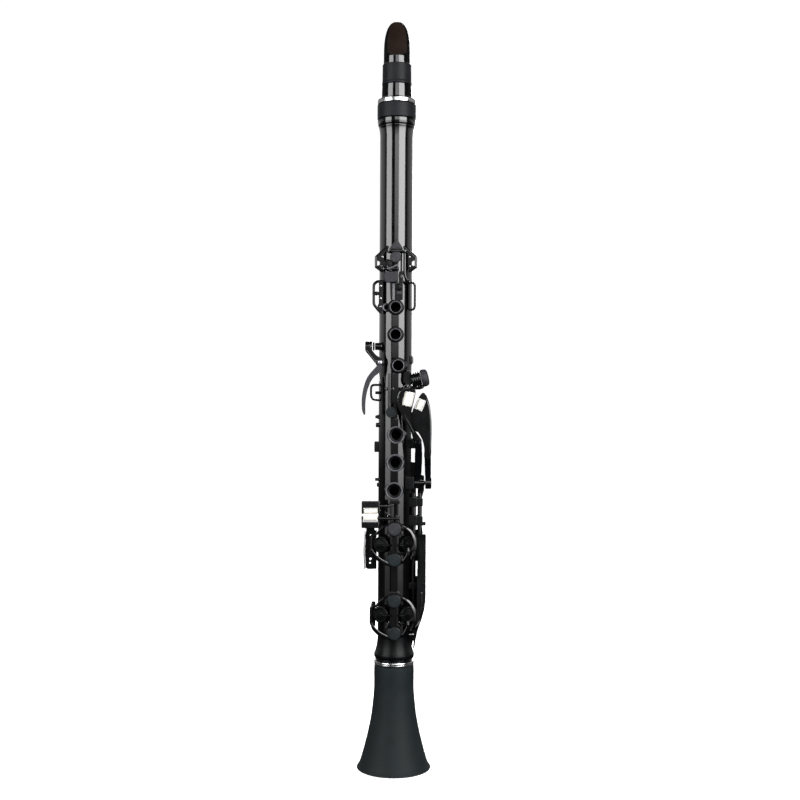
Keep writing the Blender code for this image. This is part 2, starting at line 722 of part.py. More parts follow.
def make_a_key():
    y, z = A_HINGE
    top = plate([(0.6, 413.0), (-5.0, 404.4), (5.6, 404.4)], (-17.2, -15.7))
    barrel = rod((-5.2, y, z), (5.8, y, z), 1.2)
    pivots = rod((-6.8, y, z), (7.4, y, z), 0.6, 0.6, 10)
    arm = box((-2.2, 2.4), (-17.0, -15.6), (396.4, 407.0))
    touch = rod((0.2, -15.5, 399.0), (0.2, -17.9, 399.0), 4.3, 4.0, 20)
    key = fuse(barrel, pivots, top, arm, touch)
    pivot = (0, y, z)
    finish(key, "throat_a_key", GLOSS_BLACK, pivot)
    pad_disc(A_PAD[0], A_PAD[1], 2.7, "throat_a_pad", pivot)


def make_g_sharp_key():
    y, z = G_SHARP_HINGE
    x = G_SHARP_PAD[0]
    barrel = rod((-9.0, y, z), (1.0, y, z), 1.2)
    pivots = rod((-10.1, y, z), (2.1, y, z), 0.6, 0.6, 10)
    cup = rod((x, -15.6, G_SHARP_PAD[1]), (x, -17.0, G_SHARP_PAD[1]), 3.5, 3.3, 16)
    arm = box((-7.4, -4.6), (-17.0, -15.7), (386.0, 393.0))
    touch = plate(oval(-2.8, 383.8, 6.0, 4.3), (-17.9, -15.7))
    key = fuse(barrel, pivots, cup, arm, touch)
    pivot = (0, y, z)
    finish(key, "throat_g_sharp_key", GLOSS_BLACK, pivot)
    pad_disc(x, G_SHARP_PAD[1], 2.5, "throat_g_sharp_pad", pivot)


def make_register_key():
    y, z = REGISTER_HINGE
    barrel = rod((-3.9, y, z), (3.9, y, z), 1.2)
    pivots = rod((-5.6, y, z), (5.6, y, z), 0.6, 0.6, 10)
    arm = box((-1.8, 1.8), (16.2, 17.7), (406.0, 433.0))
    cup = rod((0, 15.9, 433.0), (0, 17.3, 433.0), 3.6, 3.3, 14)
    touch = plate(oval(0, 405.0, 4.2, 6.4), (16.0, 18.2))
    pivot = (0, y, z)
    finish(fuse(barrel, pivots, arm, cup, touch), "register_key", GLOSS_BLACK, pivot)
    disc = rod((0, 14.5, 433.0), (0, 15.6, 433.0), 2.9, 2.9, 14)
    finish(disc, "register_pad", PAD_WHITE, pivot)


# ---- side keys ----
def make_side_trill_key():
    x, z = SIDE_HINGE
    cy, cz = SIDE_CHIMNEY
    hub = rod((x, -14.2, z), (x, -10.2, z), 3.3, 3.3, 16)
    arm = plate([(-11.0, 319.5), (-13.6, 315.6), (-23.0, 326.6), (-22.4, 331.0), (-19.2, 331.0)],
                (-13.6, -10.9))
    cup = rod((-18.1, cy, cz), (-23.8, cy, cz), 3.9, 3.6, 16)
    bridge = box((-22.6, -18.6), (-12.0, -7.0), (327.4, 331.0))
    lever = plate([(-12.4, 316.0), (-16.2, 311.6), (-20.4, 307.2), (-23.0, 302.4), (-24.7, 297.0),
                   (-25.6, 291.6), (-25.8, 286.0), (-25.4, 280.6), (-23.8, 277.2),
                   (-22.9, 277.6), (-23.2, 283.0), (-22.9, 289.0), (-21.6, 296.0),
                   (-19.4, 302.0), (-16.4, 306.4), (-13.6, 308.6), (-10.6, 312.4), (-10.4, 316.0)],
                  (-14.2, -10.4))
    touch = plate([(-20.4, 307.2), (-23.0, 302.4), (-24.7, 297.0), (-25.6, 291.6),
                   (-25.8, 286.0), (-25.4, 280.6), (-23.8, 277.2), (-22.9, 277.6),
                   (-23.2, 283.0), (-22.9, 289.0), (-21.6, 296.0), (-19.4, 302.0)],
                  (-14.2, -5.6))
    hole = rod((x, -20.0, z), (x, -5.0, z), 1.4, 1.4, 16)
    key = cut(fuse(hub, arm, cup, bridge, lever, touch), hole)
    pivot = (x, 0, z)
    finish(key, "side_trill_key", GLOSS_BLACK, pivot)
    disc = rod((-16.4, cy, cz), (-17.8, cy, cz), 3.2, 3.2, 14)
    finish(disc, "side_trill_pad", PAD_WHITE, pivot)
    pin = rod((x, -14.6, z), (x, -1.8, z), 1.0, 1.0, 12)
    finish(pin, "side_trill_pin", STEEL)


def make_c_sharp_touch():
    x, y = C_SHARP_TOUCH_HINGE
    kz = 306.0
    ky = -13.6
    barrel = rod((x, y, 299.5), (x, y, 308.5), 1.8)
    pivots = rod((x, y, 297.0), (x, y, 310.8), 0.7, 0.7, 10)
    neck = box((9.8, 13.4), (-14.0, -11.4), (301.4, 307.4))
    knob = rod((12.6, ky, kz), (20.0, ky, kz), 5.7, 5.9, 16)
    ribs = [rod((x0, ky, kz), (x0 + 1.1, ky, kz), 6.3, 6.3, 16) for x0 in (14.0, 16.4, 18.6)]
    clip = box((12.2, 21.4), (-15.0, -12.2), (296.6, 298.6))
    web = box((14.6, 17.2), (-14.6, -12.6), (298.0, 302.0))
    pivot = (x, y, 0)
    key = fuse(barrel, pivots, neck, knob, *ribs, clip, web)
    finish(key, "c_sharp_touch", GLOSS_BLACK, pivot)
    cap = turned([(0.0, 5.2), (5.6, 5.2), (6.3, 4.4), (6.5, 0.6), (6.3, 0.0), (0.0, 0.0)],
                 16, closed=False)
    cap.data.transform(Matrix.Translation(Vector((20.3, ky, kz)) * MM)
                       @ Matrix.Rotation(math.radians(90), 4, "Y"))
    finish(cap, "c_sharp_touch_cap", TOUCH_GREY, pivot)


def make_c_sharp_pad_key():
    y, z = C_SHARP_PAD_HINGE
    px, pz = C_SHARP_PAD
    barrel = rod((-6.3, y, z), (-2.9, y, z), 1.2)
    pivots = rod((-7.4, y, z), (-1.8, y, z), 0.6, 0.6, 10)
    stem = box((-5.7, -3.5), (-16.9, -15.6), (279.0, 308.4))
    cup = rod((px, -15.6, pz), (px, -17.0, pz), 4.1, 3.8, 14)
    pivot = (0, y, z)
    finish(fuse(barrel, pivots, stem, cup), "c_sharp_pad_key", GLOSS_BLACK, pivot)
    pad_disc(px, pz, 2.9, "c_sharp_pad", pivot)


# ---- left little-finger levers ----
def roller(start, end, radius, name, spec):
    """A metal roller with a thin axle stub at each end."""
    start = Vector(start)
    end = Vector(end)
    way = (end - start).normalized()
    drum = rod(start, end, radius, radius, 16)
    axle = rod(start - way * 0.9, end + way * 0.9, 0.6, 0.6, 10)
    finish(fuse(drum, axle), name, spec, (start + end) / 2)


INNER_ROLLER = ((8.6, -20.9, 283.9), (11.2, -20.9, 294.6))
OUTER_ROLLER = ((17.7, -17.6, 281.2), (20.8, -17.6, 288.8))


def roller_slot(ends, radius, length):
    """The opening that a roller turns in, with its axle holes."""
    start = Vector(ends[0])
    end = Vector(ends[1])
    way = (end - start).normalized()
    middle = (start + end) / 2
    across = way.cross(Vector((0, 1, 0))).normalized()
    half = length / 2 + 0.35
    corners = []
    for a, b in ((-1, -1), (1, -1), (1, 1), (-1, 1)):
        spot = middle + way * half * b + across * (radius + 0.4) * a
        corners.append((spot.x, spot.z))
    slot = plate(corners, (middle.y - 8.0, middle.y + 8.0))
    axle = rod(start - way * 1.25, end + way * 1.25, 0.9, 0.9, 12)
    return [slot, axle]


def make_left_inner_lever():
    y, z = LEVER_HINGE
    outline = [(4.6, 298.2), (1.4, 294.6), (0.4, 290.4), (1.8, 284.6), (5.8, 276.4),
               (10.0, 269.4), (13.0, 263.0), (14.6, 257.5), (20.0, 257.5), (17.0, 262.2),
               (14.0, 266.4), (12.7, 271.0), (12.4, 279.0), (14.3, 288.0), (16.0, 296.4),
               (14.8, 299.0)]
    leaf = plate(outline, (-21.6, -19.0), smooth=True)
    stem = wire([(17.6, -19.6, 260.0), (17.7, -17.4, 250.0), (17.6, -12.8, 235.0),
                 (17.1, y, z)], 2.1)
    barrel = rod((15.3, y, z), (19.0, y, z), 3.0, 3.0, 14)
    lever = fuse(leaf, stem, barrel)
    hole = rod((12.0, y, z), (22.0, y, z), 1.5, 1.5, 16)
    lever = cut(lever, hole, *roller_slot(INNER_ROLLER, 3.6, 11.0))
    finish(lever, "left_inner_lever", GLOSS_BLACK, (0, y, z))
    roller(*INNER_ROLLER, 3.6, "left_inner_roller", ROLLER_METAL)


def make_left_outer_lever():
    y, z = LEVER_HINGE
    outline = [(21.2, 294.2), (18.2, 291.0), (15.4, 284.6), (13.2, 279.4), (13.5, 271.6),
               (15.6, 266.6), (19.0, 262.4), (21.6, 257.6), (23.4, 251.0), (23.6, 244.0),
               (27.4, 244.0), (28.0, 254.0), (28.2, 266.0), (27.8, 276.0), (26.4, 285.4),
               (23.8, 292.4)]
    blade = plate(outline, (-18.6, -16.0), smooth=True)
    stem = wire([(26.2, -16.8, 246.0), (26.2, -13.6, 238.0), (26.0, y, z)], 1.9)
    barrel = rod((23.6, y, z), (28.4, y, z), 4.7, 4.4, 16)
    lever = fuse(blade, stem, barrel)
    hole = rod((21.0, y, z), (27.6, y, z), 1.5, 1.5, 16)
    lever = cut(lever, hole, *roller_slot(OUTER_ROLLER, 2.7, 8.0))
    finish(lever, "left_outer_lever", GLOSS_BLACK, (0, y, z))
    roller(*OUTER_ROLLER, 2.7, "left_outer_roller", ROLLER_METAL)


def make_lever_axle():
    y, z = LEVER_HINGE
    axle = rod((8.9, y, z), (27.2, y, z), 1.2, 1.2, 16)
    collar = rod((19.3, y, z), (23.3, y, z), 2.2, 2.2, 16)
    finish(fuse(axle, collar), "left_lever_axle", STEEL)


def make_link_rods():
    for name, (x, y), radius in (("inner_link_rod", INNER_LINK, 1.9),
                                 ("outer_link_rod", OUTER_LINK, 1.7)):
        bar = rod((x, y, 103.2), (x, y, 215.6), radius)
        finish(bar, name, GLOSS_BLACK, (x, y, 0))


# ---- low keys ----
def low_cup(side, z, hinge, barrel_z):
    """A barrel on its rod with a cup out to one side, in the closed position."""
    x, y = hinge
    barrel = rod((x, y, barrel_z[0]), (x, y, barrel_z[1]), 1.8)
    near = LOW_RIM + GAP + PAD_T + GAP
    cup = radial(near, near + CUP_T, LOW_CUP_R, LOW_CUP_R - 0.6, side * PAD_TURN, z, 16)
    a = math.radians(PAD_TURN)
    out = Vector((side * math.sin(a), -math.cos(a), 0)) * (near + 1.6)
    arm = wire([(x, y - 0.6, z), (x + side * 1.6, y - 2.4, z), (side * 6.0, y - 2.1, z),
                (out.x, out.y, z)], 1.0)
    return [barrel, cup, arm]


def low_pad(side, z):
    near = LOW_RIM + GAP
    return radial(near, near + PAD_T, LOW_CUP_R - 0.8, LOW_CUP_R - 0.8, side * PAD_TURN, z, 16)


def bore_for(hinge):
    return rod((hinge[0], hinge[1], 90.0), (hinge[0], hinge[1], 220.0), 1.1, 1.1, 12)


def finger_touch(roller_z, side_z, y_mid, arm_z, arm_y, reach):
    """A right little-finger plate with two cheeks for its roller and an arm to its barrel."""
    direction = 1 if side_z > roller_z else -1
    near = roller_z + direction * 2.5
    limits = sorted((near, side_z))
    pad = box((-25.6, -11.8), (y_mid - 2.2, y_mid + 2.2), limits, 0.9)
    cheek_z = sorted((roller_z - direction * 2.0, near + direction * 1.0))
    cheeks = [box((-25.5, -24.3), (y_mid - 1.8, y_mid + 1.8), cheek_z),
              box((-13.1, -11.9), (y_mid - 1.8, y_mid + 1.8), cheek_z)]
    arm = box((-12.6, reach), arm_y, arm_z)
    return [pad, *cheeks, arm]


def axle_hole(roller_z, y_mid):
    return rod((-25.2, y_mid, roller_z), (-12.2, y_mid, roller_z), 0.9, 0.9, 12)


def make_low_f_key():
    hinge = LEFT_PAD_HINGE
    y_mid = -14.6
    pieces = low_cup(-1, UPPER_PADS_Z, hinge, (UPPER_PADS_Z - 9.0, 207.9))
    touch = finger_touch(F_ROLLER_Z, 210.6, y_mid, (205.4, 207.6), (-16.6, -14.8), hinge[0])
    key = fuse(*pieces, *touch)
    key = cut(key, bore_for(hinge), axle_hole(F_ROLLER_Z, y_mid))
    turn_about(key, hinge, OPEN_ANGLE)
    pivot = (hinge[0], hinge[1], 0)
    finish(key, "low_f_key", GLOSS_BLACK, pivot)
    pad = turn_about(low_pad(-1, UPPER_PADS_Z), hinge, OPEN_ANGLE)
    finish(pad, "low_f_pad", PAD_WHITE, pivot)
    drum = fuse(rod((-24.0, y_mid, F_ROLLER_Z), (-13.4, y_mid, F_ROLLER_Z), ROLLER_R),
                rod((-24.9, y_mid, F_ROLLER_Z), (-12.5, y_mid, F_ROLLER_Z), 0.6, 0.6, 10))
    turn_about(drum, hinge, OPEN_ANGLE)
    centre = turned_point((-18.7, y_mid), hinge, OPEN_ANGLE)
    finish(drum, "low_f_roller", ROLLER_METAL, (*centre, F_ROLLER_Z))


def turned_point(point, centre, degrees):
    a = math.radians(degrees)
    dx = point[0] - centre[0]
    dy = point[1] - centre[1]
    return (centre[0] + dx * math.cos(a) - dy * math.sin(a),
            centre[1] + dx * math.sin(a) + dy * math.cos(a))


def make_a_flat_key():
    hinge = RIGHT_PAD_HINGE
    y_mid = -17.2
    pieces = low_cup(1, UPPER_PADS_Z, hinge, (UPPER_PADS_Z - 9.0, 199.2))
    touch = finger_touch(A_FLAT_ROLLER_Z, 189.6, y_mid, (196.0, 198.2), (-19.5, -18.0), 3.4)
    tie = box((0.8, 3.4), (-19.4, -14.6), (196.0, 198.2))
    key = fuse(*pieces, *touch, tie)
    key = cut(key, bore_for(hinge), axle_hole(A_FLAT_ROLLER_Z, y_mid))
    pivot = (hinge[0], hinge[1], 0)
    finish(key, "a_flat_key", GLOSS_BLACK, pivot)
    finish(low_pad(1, UPPER_PADS_Z), "a_flat_pad", PAD_WHITE, pivot)
    z = A_FLAT_ROLLER_Z
    drum = fuse(rod((-24.0, y_mid, z), (-13.4, y_mid, z), ROLLER_R),
                rod((-24.9, y_mid, z), (-12.5, y_mid, z), 0.6, 0.6, 10))
    finish(drum, "a_flat_roller", ROLLER_METAL, (-18.7, y_mid, z))


def make_bottom_keys():
    for side, hinge, name in ((-1, LEFT_PAD_HINGE, "low_e"), (1, RIGHT_PAD_HINGE, "low_f_sharp")):
        pieces = low_cup(side, LOWER_PADS_Z, hinge, (LOWER_PADS_Z - 12.0, LOWER_PADS_Z + 14.3))
        key = cut(fuse(*pieces), bore_for(hinge))
        turn_about(key, hinge, -side * OPEN_ANGLE)
        pivot = (hinge[0], hinge[1], 0)
        finish(key, name + "_key", GLOSS_BLACK, pivot)
        pad = turn_about(low_pad(side, LOWER_PADS_Z), hinge, -side * OPEN_ANGLE)
        finish(pad, name + "_pad", PAD_WHITE, pivot)


def make_low_rods():
    for name, (x, y) in (("left", LEFT_PAD_HINGE), ("right", RIGHT_PAD_HINGE)):
        for place, z0, z1 in (("upper", UPPER_PADS_Z - 12.0, UPPER_PADS_Z + 34.6),
                              ("lower", LOWER_PADS_Z - 15.0, LOWER_PADS_Z + 17.2)):
            pin = rod((x, y, z0), (x, y, z1), 0.8, 0.8, 8)
            finish(pin, place + "_" + name + "_pin", STEEL)


def build():
    make_main_body()
    o_ring(75.2, 10.5, 11.5, "body_tenon_seal")
    make_bell()
    make_bell_ring()
    make_barrel()
    make_barrel_ring()
    make_barrel_grip()
    o_ring(495.0, 9.8, 10.8, "barrel_tenon_seal")
    make_mouthpiece()
    make_reed()
    make_ligature()
    o_ring(516.2, 8.2, 9.05, "mouthpiece_seal")
    make_throat_brackets()
    make_left_guard()
    make_right_guard()
    make_lever_guide()
    make_ring_guard("upper_ring_guard", UPPER_GUARD_Z, UPPER_STOPS_Z, (-22.6, -13.4),
                    (156.6, 189.6), [(-16.4, 9.0), (-19.0, 6.6), (-20.6, -6.0), (-16.6, -8.0)])
    make_ring_guard("lower_ring_guard", LOWER_PADS_Z, LOWER_STOPS_Z, (-18.0, -14.9),
                    (112.0, 131.4), [(-16.4, 4.0), (-16.4, -5.4)])
    make_bumpers("upper", UPPER_STOPS_Z)
    make_bumpers("lower", LOWER_STOPS_Z)
    make_rod_fairing()
    make_thumb_rest()
    make_thumb_cushion()
    make_a_key()
    make_g_sharp_key()
    make_register_key()
    make_side_trill_key()
    make_c_sharp_touch()
    make_c_sharp_pad_key()
    make_left_inner_lever()
    make_left_outer_lever()
    make_lever_axle()
    make_link_rods()
    make_low_f_key()
    make_a_flat_key()
    make_bottom_keys()
    make_low_rods()


clear_scene()
PARTS = make_collection("clarinet")
build()
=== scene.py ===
"""Plastic clarinet in C: the finished look, the light and the camera.

Shapes are built in millimetres in the CAD model's frame and scaled when they become objects. Each
piece rides on the CAD body it belongs to and stands for the CAD nodes it names.
"""
import math

import bmesh
import bpy
from mathutils import Matrix, Vector


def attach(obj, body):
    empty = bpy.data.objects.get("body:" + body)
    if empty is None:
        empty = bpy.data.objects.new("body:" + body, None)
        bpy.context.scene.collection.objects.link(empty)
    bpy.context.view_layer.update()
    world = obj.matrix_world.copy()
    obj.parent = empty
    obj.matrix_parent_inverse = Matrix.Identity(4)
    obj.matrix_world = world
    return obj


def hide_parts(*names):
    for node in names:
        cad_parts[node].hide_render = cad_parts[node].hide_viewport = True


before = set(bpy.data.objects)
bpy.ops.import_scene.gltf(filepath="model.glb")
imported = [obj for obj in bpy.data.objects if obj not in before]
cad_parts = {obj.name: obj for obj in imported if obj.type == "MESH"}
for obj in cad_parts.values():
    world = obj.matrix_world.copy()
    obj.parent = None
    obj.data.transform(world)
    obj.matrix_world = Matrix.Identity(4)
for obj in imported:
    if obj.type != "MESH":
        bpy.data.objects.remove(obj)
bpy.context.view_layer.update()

MM = 0.001
TUBE_R = 13.0

FINGER_HOLES = [
    (0.0, 360.4),
    (0.0, 339.2),
    (2.2, 315.2),
    (0.9, 261.4),
    (0.2, 239.8),
    (-0.5, 218.1),
]
UPPER_PADS_Z = 176.2
LOWER_PADS_Z = 122.3
LEFT_PAD_HINGE = (-1.9, -15.2)
RIGHT_PAD_HINGE = (2.1, -15.2)
GUARD_Y = -21.5

# Where the keys turn: Y and Z of the axes that lie across the body, X and Z of the trill's.
THROAT_A_AXIS = (-15.9, 403.7)
G_SHARP_AXIS = (-15.9, 389.9)
C_SHARP_PAD_AXIS = (-15.6, 297.0)
REGISTER_AXIS = (16.4, 420.0)
LEVER_AXIS = (-9.0, 224.0)
TRILL_AXIS = (-12.0, 317.5)

PAD_LEAN = 38.0
OPEN_ANGLE = 8.0
SHARP = 38


# ---------------------------------------------------------------- node materials
def set_inputs(node, **values):
    """Sets a node's inputs by name, with underscores for spaces."""
    for name, value in values.items():
        node.inputs[name.replace("_", " ")].default_value = value


def add(owner, kind, **values):
    """Adds a shader node to a material or world."""
    node = owner.node_tree.nodes.new("ShaderNode" + kind)
    set_inputs(node, **values)
    return node


def new_material(name, **values):
    """A material, its shader and the function that links its nodes."""
    mat = bpy.data.materials.new(name)
    mat.use_nodes = True
    shader = mat.node_tree.nodes["Principled BSDF"]
    set_inputs(shader, **values)
    return mat, shader, mat.node_tree.links.new


def add_bump(mat, height, strength, distance):
    """Raises the surface by a texture's height."""
    link = mat.node_tree.links.new
    bump = add(mat, "Bump", Strength=strength, Distance=distance)
    link(height, bump.inputs["Height"])
    link(bump.outputs["Normal"], mat.node_tree.nodes["Principled BSDF"].inputs["Normal"])


def fade(owner, value, start, end, low, high):
    """Maps a value's range from start to end onto low to high."""
    ramp = add(owner, "MapRange", From_Min=start, From_Max=end, To_Min=low, To_Max=high)
    owner.node_tree.links.new(value, ramp.inputs["Value"])
    return ramp.outputs["Result"]


def plastic(name, colour, roughness, spread=0.05, grain=0.0, grain_size=0.25, edge_lightening=0.0,
            metallic=0.0, tint=0.25, specular=0.5):
    """Moulded plastic or metal: mottled colour and gloss, fine surface grain and a lighter colour on sharp
    convex edges.
    """
    mat, shader, link = new_material(name, Metallic=metallic, Specular_IOR_Level=specular)
    place = add(mat, "TexCoord").outputs["Object"]

    cloud = add(mat, "TexNoise", Scale=95.0, Detail=5.0, Roughness=0.6)
    link(place, cloud.inputs["Vector"])
    link(fade(mat, cloud.outputs["Fac"], 0.3, 0.7, max(roughness - spread, 0.02),
              min(roughness + spread, 1.0)), shader.inputs["Roughness"])

    shade = add(mat, "ValToRGB")
    for element, position, level in zip(shade.color_ramp.elements, (0.3, 0.72), (1 - tint, 1 + tint)):
        element.position = position
        element.color = (*[min(c * level, 1) for c in colour], 1)
    link(cloud.outputs["Fac"], shade.inputs["Fac"])

    # Sharp convex edges, found by pointiness, are mixed towards a lighter colour.
    shape = add(mat, "NewGeometry")
    edge_tone = mat.node_tree.nodes.new("ShaderNodeMix")
    edge_tone.data_type = "RGBA"
    link(fade(mat, shape.outputs["Pointiness"], 0.53, 0.62, 0.0, edge_lightening), edge_tone.inputs["Factor"])
    link(shade.outputs["Color"], edge_tone.inputs["A"])
    edge_tone.inputs["B"].default_value = (*[min(c * 2.2 + 0.03, 1) for c in colour], 1)
    link(edge_tone.outputs["Result"], shader.inputs["Base Color"])

    fine = add(mat, "TexNoise", Scale=1000.0 / grain_size / 2, Detail=3.0)
    link(place, fine.inputs["Vector"])
    add_bump(mat, fine.outputs["Fac"], grain, grain_size * 0.25 * MM)
    return mat


def brushed(name, colour, roughness, stretch):
    """Bright metal with fine marks drawn round it or along it."""
    mat = plastic(name, colour, roughness, 0.06, 0.0, 0.3, 0.0, 1.0, 0.04)
    link = mat.node_tree.links.new
    scale = add(mat, "Mapping", Scale=stretch)
    link(add(mat, "TexCoord").outputs["Object"], scale.inputs["Vector"])
    marks = add(mat, "TexNoise", Scale=900.0, Detail=4.0)
    link(scale.outputs["Vector"], marks.inputs["Vector"])
    add_bump(mat, marks.outputs["Fac"], 0.06, 0.00004)
    return mat


GLOSS = plastic("gloss_black", (0.0013, 0.0013, 0.0015), 0.11, 0.04, 0.06, 0.9, 0.10)
GLOSS_FINE = plastic("gloss_black_keys", (0.0016, 0.0016, 0.0019), 0.17, 0.05, 0.08, 0.7, 0.22,
                     specular=0.4)
SLATE = plastic("bell_slate", (0.0062, 0.0092, 0.0104), 0.60, 0.06, 0.35, 0.35, 0.08, specular=0.14)
FRAME = plastic("frame_black", (0.0014, 0.0015, 0.0018), 0.20, 0.05, 0.08, 0.7, 0.12, specular=0.18)
# Light grey painted on rims, edges and small bars as a highlight.
PAINTED_HIGHLIGHT = plastic("painted_highlight_grey", (0.058, 0.058, 0.064), 0.38, 0.06, 0.08, 0.5, 0.2, specular=0.4)
SHADE = plastic("dull_black", (0.0013, 0.0015, 0.0018), 0.34, 0.06, 0.2, 0.5, 0.15, specular=0.10)
SLEEVE = plastic("sleeve_grey", (0.0064, 0.0068, 0.0082), 0.46, 0.08, 0.6, 0.3, 0.12,
                 tint=0.4, specular=0.10)
SOFT = plastic("soft_grey", (0.014, 0.014, 0.016), 0.72, 0.08, 0.5, 0.3, 0.12, specular=0.3)
TOUCH = plastic("touch_grey", (0.0125, 0.0125, 0.0160), 0.66, 0.07, 0.5, 0.3, 0.15, specular=0.3)
SATIN = plastic("beak_satin", (0.0085, 0.0050, 0.0038), 0.45, 0.06, 0.3, 0.3, 0.10, specular=0.14)
INSIDE = plastic("dark_inside", (0.002, 0.002, 0.002), 0.55, 0.1, 0.4, 0.5, specular=0.2)
CHROME = brushed("chrome_ring", (0.46, 0.46, 0.47), 0.22, (0.05, 0.05, 3.0))
STEEL = brushed("steel", (0.50, 0.50, 0.52), 0.26, (1.0, 1.0, 0.15))
ROLLER = plastic("roller_metal", (0.60, 0.58, 0.52), 0.40, 0.05, 0.05, 0.4, 0.0, 0.0, 0.04, specular=0.3)
PAD = plastic("pad_silicone", (0.60, 0.58, 0.53), 0.55, 0.08, 0.3, 0.4)
REED = plastic("reed_resin", (0.70, 0.63, 0.47), 0.42, 0.08, 0.2, 0.4, tint=0.1)
SEAL = plastic("seal_rubber", (0.012, 0.012, 0.012), 0.75, 0.08, 0.3, 0.4)


# ---------------------------------------------------------------- curves and outlines
def through(points, per=6, closed=False):
    """A smooth run of points through the given ones."""
    pts = [Vector(p) for p in points]
    n = len(pts)
    made = []
    for i in range(n if closed else n - 1):
        if closed:
            a, b, c, d = (pts[(i + k) % n] for k in (-1, 0, 1, 2))
        else:
            a, b, c, d = pts[max(i - 1, 0)], pts[i], pts[i + 1], pts[min(i + 2, n - 1)]
        for k in range(per):
            t = k / per
            made.append(0.5 * (2 * b + (c - a) * t + (2 * a - 5 * b + 4 * c - d) * t * t
                               + (3 * b - a - 3 * c + d) * t ** 3))
    if not closed:
        made.append(pts[-1])
    return made


def soften(points, radius, steps=3, closed=True):
    """Rounds the corners of a flat outline or profile."""
    pts = [Vector(p) for p in points]
    n = len(pts)
    made = []
    for i, point in enumerate(pts):
        if not closed and i in (0, n - 1):
            made.append(point)
            continue
        back = pts[i - 1] - point
        ahead = pts[(i + 1) % n] - point
        reach = min(radius, back.length * 0.45, ahead.length * 0.45)
        start = point + back.normalized() * reach
        end = point + ahead.normalized() * reach
        for k in range(steps + 1):
            t = k / steps
            made.append(start * (1 - t) ** 2 + point * 2 * t * (1 - t) + end * t * t)
    return made


def turns(count):
    """The angles of evenly spaced points round a circle."""
    return [2 * math.pi * i / count for i in range(count)]


def axes(axis):
    """A unit vector along the axis and two across it."""
    axis = Vector(axis).normalized()
    side = axis.orthogonal().normalized()
    return axis, side, axis.cross(side)


def pad_way(side):
    """The direction a low pad faces, left or right of the front."""
    a = math.radians(PAD_LEAN * side)
    return Vector((math.sin(a), -math.cos(a), 0))


